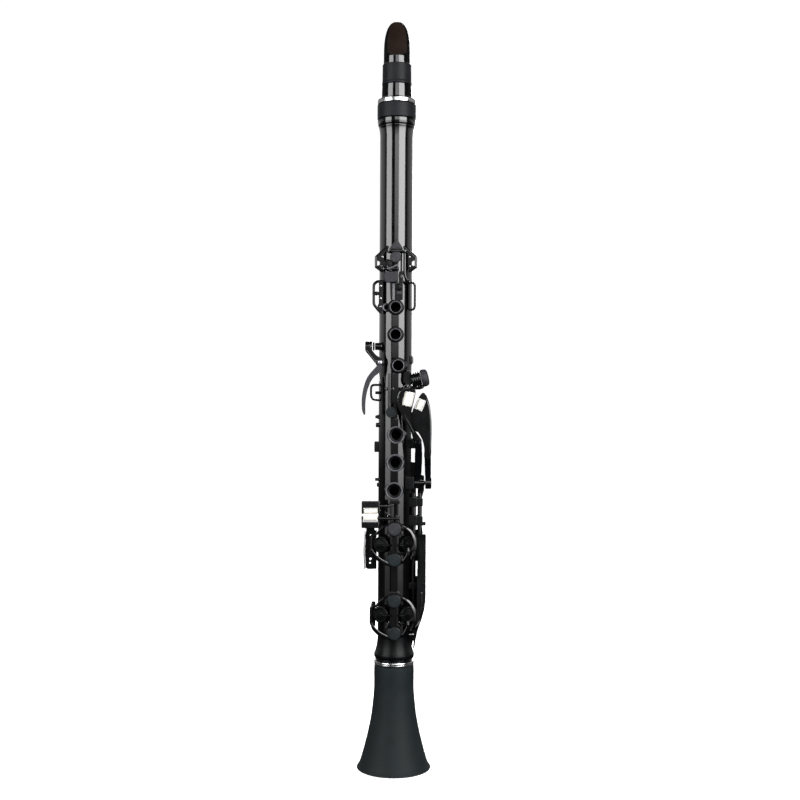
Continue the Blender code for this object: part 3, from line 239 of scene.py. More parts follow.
# ---------------------------------------------------------------- solid shapes
class Shape:
    """Gathers closed solids into one piece, each with its own material."""

    def __init__(self):
        self.work = bmesh.new()
        self.mats = []

    def paint(self, faces, mat):
        if mat not in self.mats:
            self.mats.append(mat)
        for face in faces:
            face.material_index = self.mats.index(mat)

    def grid(self, rings, mat, closed_run=False, caps=True):
        """Skins a list of rings of points."""
        rows = [[self.work.verts.new(p) for p in ring] for ring in rings]
        faces = []
        pairs = list(zip(rows, rows[1:]))
        if closed_run:
            pairs.append((rows[-1], rows[0]))
        for low, high in pairs:
            n = len(low)
            for i in range(n):
                j = (i + 1) % n
                faces.append(self.work.faces.new((low[i], low[j], high[j], high[i])))
        if caps and not closed_run:
            faces.append(self.work.faces.new(list(reversed(rows[0]))))
            faces.append(self.work.faces.new(rows[-1]))
        self.paint(faces, mat)
        return [v for row in rows for v in row]

    def lathe(self, profile, origin, axis, mat, segments=48, round_by=0.25, hollow=False):
        """A turned solid: the profile is (radius, height) along the axis, a loop when hollow."""
        axis, side, other = axes(axis)
        origin = Vector(origin)
        line = soften(profile, round_by, 2, closed=hollow) if round_by else profile
        rings = []
        for r, h in line:
            r = max(r, 0.005)
            rings.append([origin + axis * h + (side * math.cos(a) + other * math.sin(a)) * r
                          for a in turns(segments)])
        return self.grid(rings, mat, closed_run=hollow)

    def rod(self, start, end, radius, mat, segments=24, round_by=0.25, end_radius=None):
        start = Vector(start)
        end = Vector(end)
        last = radius if end_radius is None else end_radius
        length = (end - start).length
        return self.lathe([(0, 0), (radius, 0), (last, length), (0, length)], start, end - start,
                          mat, segments, round_by)

    def tube(self, points, radius, mat, sides=14, closed=False, flat=1.0, up=(0, -1, 0)):
        """A bar swept along the points; radius may be a list, flat squeezes it along up."""
        pts = [Vector(p) for p in points]
        n = len(pts)
        radii = radius if isinstance(radius, (list, tuple)) else [radius] * n
        if len(radii) != n:
            radii = [radii[0] + (radii[-1] - radii[0]) * i / (n - 1) if len(radii) == 2 else
                     radii[round(i * (len(radii) - 1) / (n - 1))] for i in range(n)]
        up = Vector(up)
        rings = []
        for i, p in enumerate(pts):
            if closed:
                way = pts[(i + 1) % n] - pts[i - 1]
            else:
                way = pts[min(i + 1, n - 1)] - pts[max(i - 1, 0)]
            way.normalize()
            across = way.cross(up)
            if across.length < 1e-4:
                across = way.orthogonal()
            across.normalize()
            lift = across.cross(way)
            r = radii[i]
            rings.append([p + across * r * math.cos(a) + lift * r * flat * math.sin(a)
                          for a in turns(sides)])
        if closed:
            return self.grid(rings, mat, closed_run=True)
        rings = self.round_end(rings, pts[0], pts[0] - pts[1], radii[0])[::-1] + rings
        rings = rings + self.round_end(rings, pts[-1], pts[-1] - pts[-2], radii[-1])
        return self.grid(rings, mat)

    def sweep(self, points, per, *look, **options):
        """A bar along a smooth run through the points."""
        return self.tube(through(points, per), *look, **options)

    def round_end(self, rings, centre, way, radius):
        """Extra rings that close the end of a bar in a dome."""
        source = rings[0] if (Vector(rings[0][0]) - centre).length < (
            Vector(rings[-1][0]) - centre).length else rings[-1]
        way = way.normalized()
        made = []
        for share, reach in ((0.92, 0.3), (0.7, 0.6), (0.35, 0.8), (0.05, 0.86)):
            made.append([centre + (Vector(p) - centre) * share + way * radius * reach * 0.8
                         for p in source])
        return made

    def plate(self, outline, y, mat, edge=0.35, steps=2, place=None):
        """A flat outline in X and Z, thick between two Y values, with rounded rims."""
        low, high = min(y), max(y)
        part = bmesh.new()
        front = [part.verts.new((p[0], low, p[1])) for p in outline]
        back = [part.verts.new((p[0], high, p[1])) for p in outline]
        rims = [part.faces.new(front), part.faces.new(list(reversed(back)))]
        n = len(outline)
        for i in range(n):
            j = (i + 1) % n
            part.faces.new((front[i], back[i], back[j], front[j]))
        if edge:
            edges = list({e for f in rims for e in f.edges})
            bmesh.ops.bevel(part, geom=edges, offset=edge, segments=steps, affect="EDGES",
                            profile=0.6, clamp_overlap=True)
        self.take(part, mat, place)

    def block(self, x, y, z, mat, edge=0.35):
        """A box from its limits, with rounded edges."""
        part = bmesh.new()
        size = (x[1] - x[0], y[1] - y[0], z[1] - z[0])
        centre = [(v[0] + v[1]) / 2 for v in (x, y, z)]
        bmesh.ops.create_cube(part, size=1.0,
                              matrix=Matrix.Translation(centre) @ Matrix.Diagonal((*size, 1)))
        reach = min(edge, min(abs(s) for s in size) * 0.42)
        bmesh.ops.bevel(part, geom=list(part.edges), offset=reach, segments=2, affect="EDGES", profile=0.6)
        self.take(part, mat)

    def take(self, part, mat, place=None):
        """Adds another mesh's faces to this one."""
        bmesh.ops.recalc_face_normals(part, faces=part.faces)
        if place is not None:
            bmesh.ops.transform(part, matrix=place, verts=part.verts)
        new = {v: self.work.verts.new(v.co) for v in part.verts}
        faces = [self.work.faces.new([new[v] for v in f.verts]) for f in part.faces]
        self.paint(faces, mat)
        part.free()

    def turn(self, place):
        """Turns everything gathered so far."""
        bmesh.ops.transform(self.work, matrix=place, verts=self.work.verts)

    def join(self, obj):
        """Takes over another object's mesh, in metres, with its materials."""
        mesh = obj.data
        part = bmesh.new()
        part.from_mesh(mesh)
        for vert in part.verts:
            vert.co /= MM
        new = {v: self.work.verts.new(v.co) for v in part.verts}
        for f in part.faces:
            self.paint([self.work.faces.new([new[v] for v in f.verts])], mesh.materials[f.material_index])
        part.free()
        bpy.data.objects.remove(obj, do_unlink=True)

    def pillow(self, outline, y_front, y_back, crown, mat, edge=0.7):
        """A finger touch: a convex outline in X and Z with a softly crowned front."""
        cx = sum(p[0] for p in outline) / len(outline)
        cz = sum(p[1] for p in outline) / len(outline)
        size = min(max(abs(p[0] - cx) for p in outline), max(abs(p[1] - cz) for p in outline))
        rim = 1 - edge / size
        rings = []
        for share, y in ((0.6, y_back), (0.97, y_back), (1.0, y_back - 0.25), (1.0, y_front + edge),
                         (1 - (1 - rim) * 0.3, y_front + edge * 0.35), (rim, y_front)):
            rings.append([(cx + (p[0] - cx) * share, y, cz + (p[1] - cz) * share) for p in outline])
        for k in (0.85, 0.65, 0.4, 0.15):
            share = rim * k
            y = y_front - crown * (1 - k * k)
            rings.append([(cx + (p[0] - cx) * share, y, cz + (p[1] - cz) * share) for p in outline])
        part = Shape()
        part.grid(rings, mat)
        self.take(part.work, mat)

    def finish(self, name, body="body", nodes=(), slot="gloss_black", sharp=SHARP):
        """Turns the gathered solids into an object that rides on a CAD body."""
        for vert in self.work.verts:
            vert.co *= MM
        mesh = bpy.data.meshes.new(name)
        bmesh.ops.recalc_face_normals(self.work, faces=self.work.faces)
        self.work.to_mesh(mesh)
        self.work.free()
        for mat in self.mats:
            mesh.materials.append(mat)
        obj = bpy.data.objects.new(name, mesh)
        bpy.context.scene.collection.objects.link(obj)
        smooth(obj, sharp)
        return ride(obj, body, nodes)


def smooth(obj, sharp):
    """Smooth shading with crisp edges where faces meet at more than an angle."""
    obj.data.shade_smooth()
    obj.data.set_sharp_from_angle(angle=math.radians(sharp))
    even = obj.modifiers.new("even_shading", "WEIGHTED_NORMAL")
    even.keep_sharp = True


def ride(obj, body, nodes):
    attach(obj, body)
    if nodes:
        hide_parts(*nodes)
    return obj


def about_z(centre, degrees):
    """A turn about a line parallel to Z through (x, y)."""
    spot = Vector((centre[0], centre[1], 0))
    return (Matrix.Translation(spot) @ Matrix.Rotation(math.radians(degrees), 4, "Z")
            @ Matrix.Translation(-spot))


# ---------------------------------------------------------------- turned joints
def ring_solid(shape, profile, mat, segments=128, round_by=0.2, steps=2):
    """A hollow turned solid from a closed (radius, z) profile about the tube's axis."""
    line = soften(profile, round_by, steps) if round_by else profile
    rings = []
    for r, z in line:
        rings.append([(r * math.sin(a), -r * math.cos(a), z) for a in turns(segments)])
    return shape.grid(rings, mat, closed_run=True)


def bell_curve():
    """The bell's outer flare, rim last."""
    knots = [(15.5, 80.4), (15.65, 77.0), (15.6, 70.0), (15.6, 64.0), (15.9, 58.0), (16.45, 52.0),
             (17.15, 45.5), (18.1, 39.0), (19.3, 33.0), (20.65, 26.6), (22.2, 20.3), (23.8, 14.0),
             (25.6, 7.8), (26.7, 4.6), (27.6, 2.7)]
    return through(knots, 4)


def make_bell():
    shape = Shape()
    outside = [(14.9, 81.0)] + bell_curve() + [(28.5, 1.5), (28.9, 0.9), (28.95, 0.5),
                                              (28.8, 0.2), (28.4, 0.0)]
    inner = [(27.1, 0.0), (26.6, 0.5), (25.6, 2.4), (23.4, 8.2), (19.9, 20.2), (16.9, 33.0),
             (13.4, 47.0), (8.0, 60.0), (7.2, 64.0), (7.2, 64.1)]
    inside = through(inner, 4) + [(11.8, 64.2), (11.8, 80.6), (12.1, 81.0)]
    ring_solid(shape, outside + inside, SLATE, 144, 0.0)
    shape.finish("bell_shell", "bell", ["bell"], "bell_slate")
    ring = Shape()
    ring_solid(ring, [(15.0, 84.6), (15.45, 84.45), (15.62, 84.0), (15.62, 83.3), (15.3, 83.1),
                      (15.3, 82.8), (15.62, 82.6), (15.62, 81.9), (15.45, 81.45), (15.0, 81.3),
                      (12.0, 81.3), (12.0, 84.6)], CHROME, 144, 0.08)
    ring.finish("bell_top_ring", "bell", ["bell_ring"], "chrome_ring")


def make_seal(name, body, node, z, inner, outer):
    shape = Shape()
    middle = (inner + outer) / 2
    half = (outer - inner) / 2
    points = [(middle + half * math.cos(a), z + 0.9 * math.sin(a)) for a in turns(14)]
    ring_solid(shape, points, SEAL, 72, 0.0)
    shape.finish(name, body, [node], "seal_rubber")


def make_barrel():
    shape = Shape()
    ring_solid(shape, [(14.2, 503.4), (14.5, 503.7), (14.9, 505.6), (14.9, 508.0), (14.6, 508.4),
                       (12.6, 508.4), (12.6, 520.0), (11.9, 520.0), (11.9, 523.3), (9.3, 523.3),
                       (9.3, 509.0), (6.5, 509.0), (6.5, 484.8), (10.7, 484.8), (10.7, 493.8),
                       (9.5, 493.8), (9.5, 496.2), (10.7, 496.2), (10.7, 503.4)], GLOSS, 128, 0.25)
    shape.finish("barrel_shell", "barrel", ["barrel"])
    ring = Shape()
    ring_solid(ring, [(14.3, 523.8), (14.75, 523.65), (14.9, 523.2), (14.9, 520.8), (14.75, 520.45),
                      (14.3, 520.3), (12.2, 520.3), (12.2, 523.8)], CHROME, 128, 0.1)
    ring.finish("barrel_top_ring", "barrel", ["barrel_ring"], "chrome_ring")
    grip = Shape()
    ring_solid(grip, [(14.8, 520.0), (15.1, 519.8), (15.15, 519.4), (15.15, 509.4),
                      (15.1, 508.9), (14.8, 508.7), (12.9, 508.7), (12.9, 520.0)], SLEEVE, 128, 0.15)
    grip.finish("barrel_grip_sleeve", "barrel", ["barrel_grip"], "soft_grey")
    make_seal("barrel_sealing_ring", "barrel", "barrel_tenon_seal", 495.0, 9.8, 10.8)


# ---------------------------------------------------------------- mouthpiece
TIP_Z = 588.0
BEAK_Z = 557.0
BEAK_R = 10.35
LAY_Y = 7.2


def beak_half(z):
    if z <= 560.0:
        return BEAK_R
    t = (z - 560.0) / (TIP_Z - 560.0)
    return BEAK_R * max(1 - t ** 2.5, 0.0) ** (1 / 2.5)


def beak_section(z, radius, count=96):
    """One ring of the mouthpiece: round in front, cut flat by the reed's lay behind."""
    half = radius if z < BEAK_Z else beak_half(z)
    t = max((z - BEAK_Z) / (TIP_Z - BEAK_Z), 0.0)
    front = radius if z < BEAK_Z else BEAK_R - 16.55 * (0.78 * t + 0.22 * t * t)
    back = LAY_Y if z > 535.1 else radius
    widest = 7.1 * t
    ring = []
    for i in range(count):
        a = 2 * math.pi * i / count
        c = math.cos(a)
        y = widest - (widest + front) * c if c > 0 else widest - half * c
        x = half * math.sin(a)
        ring.append((x, min(y, back, math.sqrt(max(radius, 10.6) ** 2 - x * x)), z))
    return ring


def make_mouthpiece():
    levels = [(524.2, 11.1), (524.35, 11.4), (524.8, 11.7), (525.6, 11.75), (526.6, 11.7),
              (530.0, 11.65), (532.0, 11.6), (534.9, 11.45), (535.1, 10.4),
              (551.7, 10.4), (552.0, 10.5), (552.4, 10.45), (554.0, 10.4), (556.9, BEAK_R)]
    levels += [(557.1 + 12.9 * i / 18, BEAK_R) for i in range(19)]
    levels += [(570.5 + 17.1 * math.sin(math.pi / 2 * i / 22), BEAK_R) for i in range(1, 23)]
    shape = Shape()
    shape.grid([beak_section(z, r) for z, r in levels], GLOSS)
    shape.work.normal_update()
    for face in shape.work.faces:
        middle = face.calc_center_median()
        flat = middle.y < LAY_Y - 1.2 and abs(middle.x) < 0.74 * beak_half(middle.z) + 0.2
        if flat and middle.z > 556.4 + 7.0 * (middle.x / BEAK_R) ** 2:
            shape.paint([face], SATIN)
    body = shape.finish("mouthpiece_shell", "mouthpiece", ["mouthpiece"], "beak_black", 50)
    cutters = Shape()
    cutters.rod((0, 0.4, 508), (0, 1.0, 562), 6.3, INSIDE, 48, 0.0, 4.6)
    cutters.block((-3.9, 3.9), (1.6, 9.0), (548.0, 577.0), INSIDE, 0.6)
    carve(body, cutters)
    tenon = Shape()
    ring_solid(tenon, [(9.0, 524.6), (9.0, 517.4), (7.9, 517.4), (7.9, 515.0), (9.0, 515.0),
                       (9.0, 509.8), (8.7, 509.4), (6.4, 509.4), (6.3, 524.6)], GLOSS, 96, 0.15)
    tenon.finish("mouthpiece_tenon", "mouthpiece", [], "beak_black")
    make_seal("mouthpiece_sealing_ring", "mouthpiece", "mouthpiece_seal", 516.2, 8.2, 9.05)


def carve(obj, cutters):
    """Cuts the gathered shapes out of an object and keeps the result as plain mesh."""
    tool = cutters.finish("cutter")
    tool.modifiers.clear()
    step = obj.modifiers.new("carve", "BOOLEAN")
    step.operation = "DIFFERENCE"
    step.solver = "EXACT"
    step.use_self = True
    step.object = tool
    obj.modifiers.remove(obj.modifiers["even_shading"])
    bpy.context.view_layer.update()
    done = obj.evaluated_get(bpy.context.evaluated_depsgraph_get())
    mesh = bpy.data.meshes.new_from_object(done)
    obj.modifiers.clear()
    obj.data = mesh
    smooth(obj, SHARP)
    bpy.data.objects.remove(tool, do_unlink=True)
    return obj


def make_reed():
    """A cane-coloured resin blade: thick bark at the heel, scraped thin towards the tip."""
    near = LAY_Y + 0.3
    rings = []
    for i in range(41):
        z = 536.0 + (586.9 - 536.0) * i / 40
        t = i / 40
        half = min(5.9 + 0.35 * t, beak_half(z) * 0.985)
        thick = 2.3 if z < 556 else 2.3 - 2.0 * ((z - 556) / 31) ** 0.85
        thick = max(thick, 0.28)
        ring = []
        for k in range(13):
            a = math.pi * k / 12
            ring.append((half * math.cos(a), near + thick * (0.35 + 0.65 * math.sin(a) ** 0.7), z))
        ring += [(-half, near, z), (half, near, z)]
        rings.append(ring)
    shape = Shape()
    shape.grid(rings, REED)
    shape.finish("reed_blade", "mouthpiece", ["reed"], "reed_resin", 50)


def make_ligature():
    """Moulded band with raised rims, and two clamping ribs behind the reed."""
    shape = Shape()
    ring_solid(shape, [(11.1, 551.4), (11.3, 551.2), (11.38, 550.6), (11.26, 550.0),
                       (11.4, 538.0), (11.6, 537.2), (11.7, 536.8), (11.7, 536.2),
                       (11.5, 535.6), (10.95, 535.6), (10.95, 551.4)], SLEEVE, 128, 0.1)
    for x in (-1.7, 1.7):
        shape.block((x - 0.6, x + 0.6), (11.2, 13.3), (536.6, 548.0), SOFT, 0.4)
    for z in (539.4, 545.2):
        shape.rod((-2.6, 12.4, z), (2.6, 12.4, z), 0.8, STEEL, 20)
    for x in range(-3, 4):
        shape.block((x * 0.9 - 0.2, x * 0.9 + 0.2), (11.0, 12.0), (537.5, 547.0), SOFT, 0.12)
    shape.finish("ligature_band", "ligature", ["ligature"], "soft_grey")


# ---------------------------------------------------------------- main body
def tube_profile():
    """The body's wall as a closed (radius, z) loop: outside down, tenon, then up the bore."""
    collar = [(13.7, 503.0), (14.0, 502.9), (14.1, 502.6), (14.05, 502.1), (13.75, 501.4), (13.5, 500.2),
              (13.32, 498.6), (13.12, 496.4)]
    straight = [(TUBE_R, z) for z in (493.5, 470.0, 440.0, 400.0, 350.0, 300.0, 250.0, 200.0, 150.0,
                                      106.2, 105.8)]
    foot = [(13.08, 102.0), (13.3, 99.0), (13.7, 96.4), (14.2, 94.2), (14.75, 92.2), (15.1, 91.2),
            (15.2, 90.9), (15.45, 90.6), (15.68, 89.8), (15.72, 88.8), (15.66, 87.8), (15.4, 87.1),
            (15.0, 86.6), (14.8, 86.2), (14.6, 85.4), (14.3, 84.9)]
    tenon = [(11.4, 84.9), (11.4, 76.4), (10.2, 76.4), (10.2, 74.0), (11.4, 74.0), (11.4, 65.0),
             (11.0, 64.5)]
    bore = [(6.5, 64.5), (6.5, 484.3), (11.05, 484.3), (11.05, 503.0)]
    return collar + straight + foot + tenon + bore


def make_tube():
    shape = Shape()
    ring_solid(shape, tube_profile(), GLOSS, 144, 0.0)
    for face in shape.work.faces:
        middle = face.calc_center_median()
        if math.hypot(middle.x, middle.y) < 6.6:
            shape.paint([face], INSIDE)
        elif 87.0 < middle.z < 106.0:
            shape.paint([face], SHADE)
    tube = shape.finish("body_tube", "body", ["main_body"])
    cutters = Shape()
    for x, z in FINGER_HOLES:
        cutters.rod((x, -4.0, z), (x, -19.0, z), 3.9, INSIDE, 40, 0)
    cutters.rod((0, 4.0, 390.0), (0, 19.0, 390.0), 3.9, INSIDE, 40, 0)
    for z in (UPPER_PADS_Z, LOWER_PADS_Z):
        for side in (-1, 1):
            way = pad_way(side)
            cutters.rod(way * 6.35 + Vector((0, 0, z)), way * 19 + Vector((0, 0, z)), 3.8, INSIDE, 40, 0)
    cutters.rod((-5.0, -6.5, 330.2), (-19.0, -6.5, 330.2), 1.8, INSIDE, 24, 0)
    carve(tube, cutters)


def well(shape, place, axis, outer, lip, hole, height, foot, mat):
    """A raised tone hole: a flared foot, a rounded lip and a dark bore."""
    profile = [(outer + foot, 0.0), (outer + foot * 0.45, 0.35), (outer + 0.1, 1.1), (outer, 1.8),
               (lip + (outer - lip) * 0.4, height - 0.5), (lip + 0.12, height - 0.12),
               (lip - 0.25, height), (hole + 0.3, height), (hole + 0.1, height - 0.1),
               (hole, height - 0.5), (hole, 0.0)]
    shape.lathe(profile, place, axis, mat, 56, 0.2, hollow=True)


def finger_rim(shape, x, z, outer, foot, low, high):
    """A finger hole's chimney: a dull shoulder and a raised rim, painted light grey between two radii as a
    highlight.
    """
    profile = [(outer + foot, 9.4), (outer + foot * 0.45, 10.4), (outer + 0.05, 12.2),
               (outer - 0.05, 13.9), (max(outer - 0.4, high + 0.05), 14.6), (high + 0.02, 14.75),
               (high - 0.15, 15.25), ((low + high) / 2, 15.6), (low + 0.15, 15.3)]
    if low > 4:
        profile += [(low - 0.1, 14.9), (4.4, 14.6), (3.9, 14.5)]
    profile += [(3.65, 14.3), (3.6, 13.8), (3.6, 9.4)]
    rings = []
    for r, h in soften(profile, 0.15, 2):
        rings.append([(x + r * math.cos(a), -h, z + r * math.sin(a)) for a in turns(56)])
    start = len(shape.work.faces)
    shape.grid(rings, GLOSS, closed_run=True)
    for face in list(shape.work.faces)[start:]:
        middle = face.calc_center_median()
        radius = math.hypot(middle.x - x, middle.z - z)
        if middle.y < -14.2:
            # The rim between the two radii is painted light grey as a highlight.
            shape.paint([face], PAINTED_HIGHLIGHT if low < radius < high else SHADE)


def screw(shape, place, axis, radius, mat, slot_turn=20.0):
    """A small slotted screw head."""
    axis, side, other = axes(axis)
    origin = Vector(place)
    shape.lathe([(0, -0.2), (radius, -0.2), (radius, 0.25), (radius * 0.8, 0.45), (0, 0.5)],
                origin, axis, mat, 28, 0.12)
    a = math.radians(slot_turn)
    way = side * math.cos(a) + other * math.sin(a)
    shape.rod(origin + way * radius * 0.8 + axis * 0.47, origin - way * radius * 0.8 + axis * 0.47,
              0.16, INSIDE, 8, 0)


def make_finger_wells():
    shape = Shape()
    for x, z in FINGER_HOLES[:3]:
        finger_rim(shape, x, z, 6.3, 0.9, 3.85, 4.85)
    for x, z in FINGER_HOLES[3:]:
        finger_rim(shape, x, z, 6.9, 1.4, 5.5, 6.8)
    well(shape, (-7.0, -9.6, 360.2), (0, -1, 0), 3.4, 3.0, 1.5, 4.6, 0.5, SHADE)
    # A crescent inside the small hole's rim, painted light grey as a highlight.
    crescent = [(-7.0 + 2.8 * math.cos(a), -14.2, 360.2 + 2.8 * math.sin(a))
                for a in (math.radians(100 + 16 * k) for k in range(11))]
    shape.tube(crescent, [0.3, 0.55, 0.6, 0.55, 0.3], PAINTED_HIGHLIGHT, 12, flat=0.6)
    well(shape, (0, 10.4, 390.0), (0, 1, 0), 6.3, 5.1, 3.6, 5.0, 1.5, GLOSS)
    for x, z in ((0.3, 408.3), (-6.0, 393.6), (-3.1, 279.3)):
        well(shape, (x, -10.0, z), (0, -1, 0), 3.2, 2.9, 1.9, 3.85, 0.6, GLOSS_FINE)
    well(shape, (-10.4, -6.5, 330.2), (-1, 0, 0), 2.9, 2.7, 1.8, 5.6, 0.7, GLOSS_FINE)
    well(shape, (0, 11.5, 433.0), (0, 1, 0), 2.8, 2.5, 1.2, 2.6, 0.5, GLOSS_FINE)
    for z in (UPPER_PADS_Z, LOWER_PADS_Z):
        for side in (-1, 1):
            way = pad_way(side)
            well(shape, way * 11.2 + Vector((0, 0, z)), way, 5.1, 4.9, 3.8, 2.95, 0.5, GLOSS_FINE)
    shape.finish("tone_hole_wells")


def make_posts():
    """Hinge posts, bearings and guide nubs moulded on the body."""
    shape = Shape()
    for x0, x1, y, z in ((-5.5, 6.1, *THROAT_A_AXIS), (-9.3, 1.3, *G_SHARP_AXIS),
                         (-6.6, -2.6, *C_SHARP_PAD_AXIS), (-4.2, 4.2, *REGISTER_AXIS)):
        for x, side in ((x0, -1), (x1, 1)):
            width = 1.3 if abs(x1 - x0) < 12 else 1.4
            limits = sorted((x, x + side * width))
            reach = sorted((y + math.copysign(1.2, y), math.copysign(7.0, y)))
            shape.block(limits, reach, (z - 1.2, z + 1.2), GLOSS_FINE, 0.45)
            shape.rod((x + side * (width - 0.1), y, z), (x + side * (width + 0.2), y, z), 0.7,
                      STEEL, 18, 0.1)
    for low, high in ((296.2, 299.2), (308.8, 311.6)):
        shape.block((8.3, 11.6), (-14.3, -6.0), (low, high), GLOSS_FINE, 0.6)
    for top in (UPPER_PADS_Z + 35.0, LOWER_PADS_Z + 17.6):
        shape.block((-3.8, 4.0), (-16.9, -10.0), (top - 2.9, top), GLOSS_FINE, 0.5)
        screw(shape, (*LEFT_PAD_HINGE, top + 0.05), (0, 0, 1), 0.8, FRAME)
        screw(shape, (*RIGHT_PAD_HINGE, top + 0.05), (0, 0, 1), 0.8, FRAME, 70)
    for low in (UPPER_PADS_Z - 12.4, LOWER_PADS_Z - 15.4):
        shape.block((-3.8, 4.0), (-16.9, -10.0), (low, low + 2.9), GLOSS_FINE, 0.5)
    shape.block((8.0, 15.0), (-11.8, -5.0), (219.2, 229.0), SHADE, 0.9)
    shape.block((8.0, 14.4), (-9.5, -5.0), (251.5, 258.5), SHADE, 0.8)
    for low, high in ((205.0, 212.4), (190.2, 198.4), (141.0, 146.0)):
        shape.block((10.0, 17.4), (-6.6, -1.5), (low, high), SHADE, 0.7)
        shape.block((16.9, 22.0), (-6.2, -1.9), (low + 0.6, high - 0.6), SHADE, 0.7)
    shape.block((10.0, 16.6), (-6.6, -1.5), (100.5, 105.5), SHADE, 0.7)
    shape.block((20.0, 24.3), (-6.0, -2.0), (190.4, 193.6), GLOSS_FINE, 0.5)
    shape.rod((-12.0, -9.8, 317.5), (-12.0, 2.0, 317.5), 2.4, GLOSS_FINE, 32, 0.4)
    shape.finish("body_posts")


def make_nubs():
    """Guide nubs on the left edge, a stop on the right and the raised spine between the holes."""
    shape = Shape()
    outline = [(-10.0, 277.6), (-12.8, 277.0), (-15.6, 276.2), (-15.7, 274.4), (-12.8, 273.4),
               (-10.0, 273.0)]
    shape.plate(soften(outline, 0.6), (-4.0, 0.5), GLOSS_FINE, 0.4)
    shape.rod((-12.0, -2.0, 268.8), (-15.2, -2.0, 268.8), 1.9, GLOSS_FINE, 28, 0.4, 1.7)
    shape.block((-16.2, -11.0), (-3.6, 0.4), (247.6, 256.0), GLOSS_FINE, 0.7)
    shape.block((-16.3, -15.5), (-2.6, -0.6), (249.2, 254.4), TOUCH, 0.3)
    shape.rod((-12.0, -2.0, 226.1), (-15.6, -2.0, 226.1), 1.3, GLOSS_FINE, 24, 0.3, 1.1)
    shape.block((-14.2, -11.0), (-3.8, 0.2), (220.4, 223.6), GLOSS_FINE, 0.6)
    shape.block((9.5, 13.5), (-6.5, -2.0), (316.4, 323.2), GLOSS_FINE, 0.7)
    shape.block((12.6, 14.0), (-5.6, -2.9), (317.4, 322.2), GLOSS_FINE, 0.4)
    for low, high in ((286.0, 309.4), (321.0, 333.2), (345.2, 354.6), (267.0, 274.0),
                      (245.6, 255.4), (223.8, 234.0), (139.0, 162.0)):
        shape.block((-2.7, 2.7), (-13.6, -10.0), (low, high), GLOSS, 0.4)
    shape.finish("body_nubs")


def make_thumb_rest():
    shape = Shape()
    shape.block((-5.0, 5.0), (12.0, 15.4), (238.0, 262.0), GLOSS_FINE, 0.9)
    ledge = through([(0, 14.0, 260.6), (0, 18.0, 261.2), (0, 22.0, 261.3), (0, 25.2, 260.6),
                     (0, 25.7, 258.6)], 6)
    rings = []
    for i, p in enumerate(ledge):
        half = 5.2 + 3.2 * min(i / 7, 1.0)
        ahead = ledge[min(i + 1, len(ledge) - 1)] - ledge[max(i - 1, 0)]
        lift = Vector((0, -ahead.z, ahead.y)).normalized()
        section = soften([(half, 1.3), (-half, 1.3), (-half, -1.3), (half, -1.3)], 0.9, 4)
        rings.append([p + Vector((q[0], 0, 0)) + lift * q[1] for q in section])
    shape.grid(rings, GLOSS_FINE)
    for z in (242.0, 250.0):
        screw(shape, (0, 15.4, z), (0, 1, 0), 1.5, STEEL, 30)
    shape.finish("thumb_rest_hook", "body", ["thumb_rest"])
    cushion = Shape()
    cushion.block((-7.6, 7.6), (15.8, 24.0), (257.6, 259.4), SOFT, 0.6)
    for k in range(-4, 5):
        cushion.rod((-7.0, 19.9 + k * 0.85, 257.75), (7.0, 19.9 + k * 0.85, 257.75), 0.28, SOFT, 10, 0.05)
    cushion.finish("thumb_rest_cushion", "body", ["thumb_cushion"], "soft_grey")


# ---------------------------------------------------------------- guards and frames
RIGHT_FACE = (0.36, -0.90, 0.24)
LEFT_FACE = (-0.42, -0.87, 0.25)


def make_throat_brackets():
    """Six-sided struts round the throat keys, each with a pierced web."""
    for side, name in ((-1, "left"), (1, "right")):
        shape = Shape()
        run = [(6.6, 407.6), (15.5, 399.6), (15.5, 391.9), (11.6, 389.0), (10.4, 388.6)]
        line = [(side * x, -10.6, z) for x, z in soften(run, 0.7, 4, closed=False)]
        shape.tube(line, 1.0, FRAME, flat=1.3)
        shape.tube([(side * 6.4, -11.9, 407.6), (side * 15.2, -11.9, 399.7)], 0.7, GLOSS,
                   flat=0.4, up=(side * 0.38, -0.9, 0.2))
        shape.tube([(side * 15.6, -11.7, 399.4), (side * 15.6, -11.7, 392.2)], 0.55, GLOSS,
                   flat=0.4, up=(side * 0.4, -0.9, 0.16))
        web = [(7.4, 406.0), (14.9, 399.2), (14.9, 396.8), (12.2, 396.2), (12.2, 393.6),
               (14.6, 392.6), (11.4, 389.6), (9.3, 391.0), (9.3, 402.0), (7.0, 405.2)]
        shape.plate([(side * x, z) for x, z in soften(web, 0.5)], (-11.6, -8.6), FRAME, 0.35)
        shape.tube([(side * 12.2, -10.6, 392.6), (side * 15.8, -10.6, 391.6)], 0.9, FRAME, 12)
        screw(shape, (side * 10.4, -11.6, 399.6), (0, -1, 0), 0.85, STEEL, 30 * side)
        screw(shape, (side * 10.8, -11.6, 392.4), (0, -1, 0), 0.7, STEEL, 75)
        shape.finish("throat_frame_" + name, "body", ["throat_bracket_" + name])


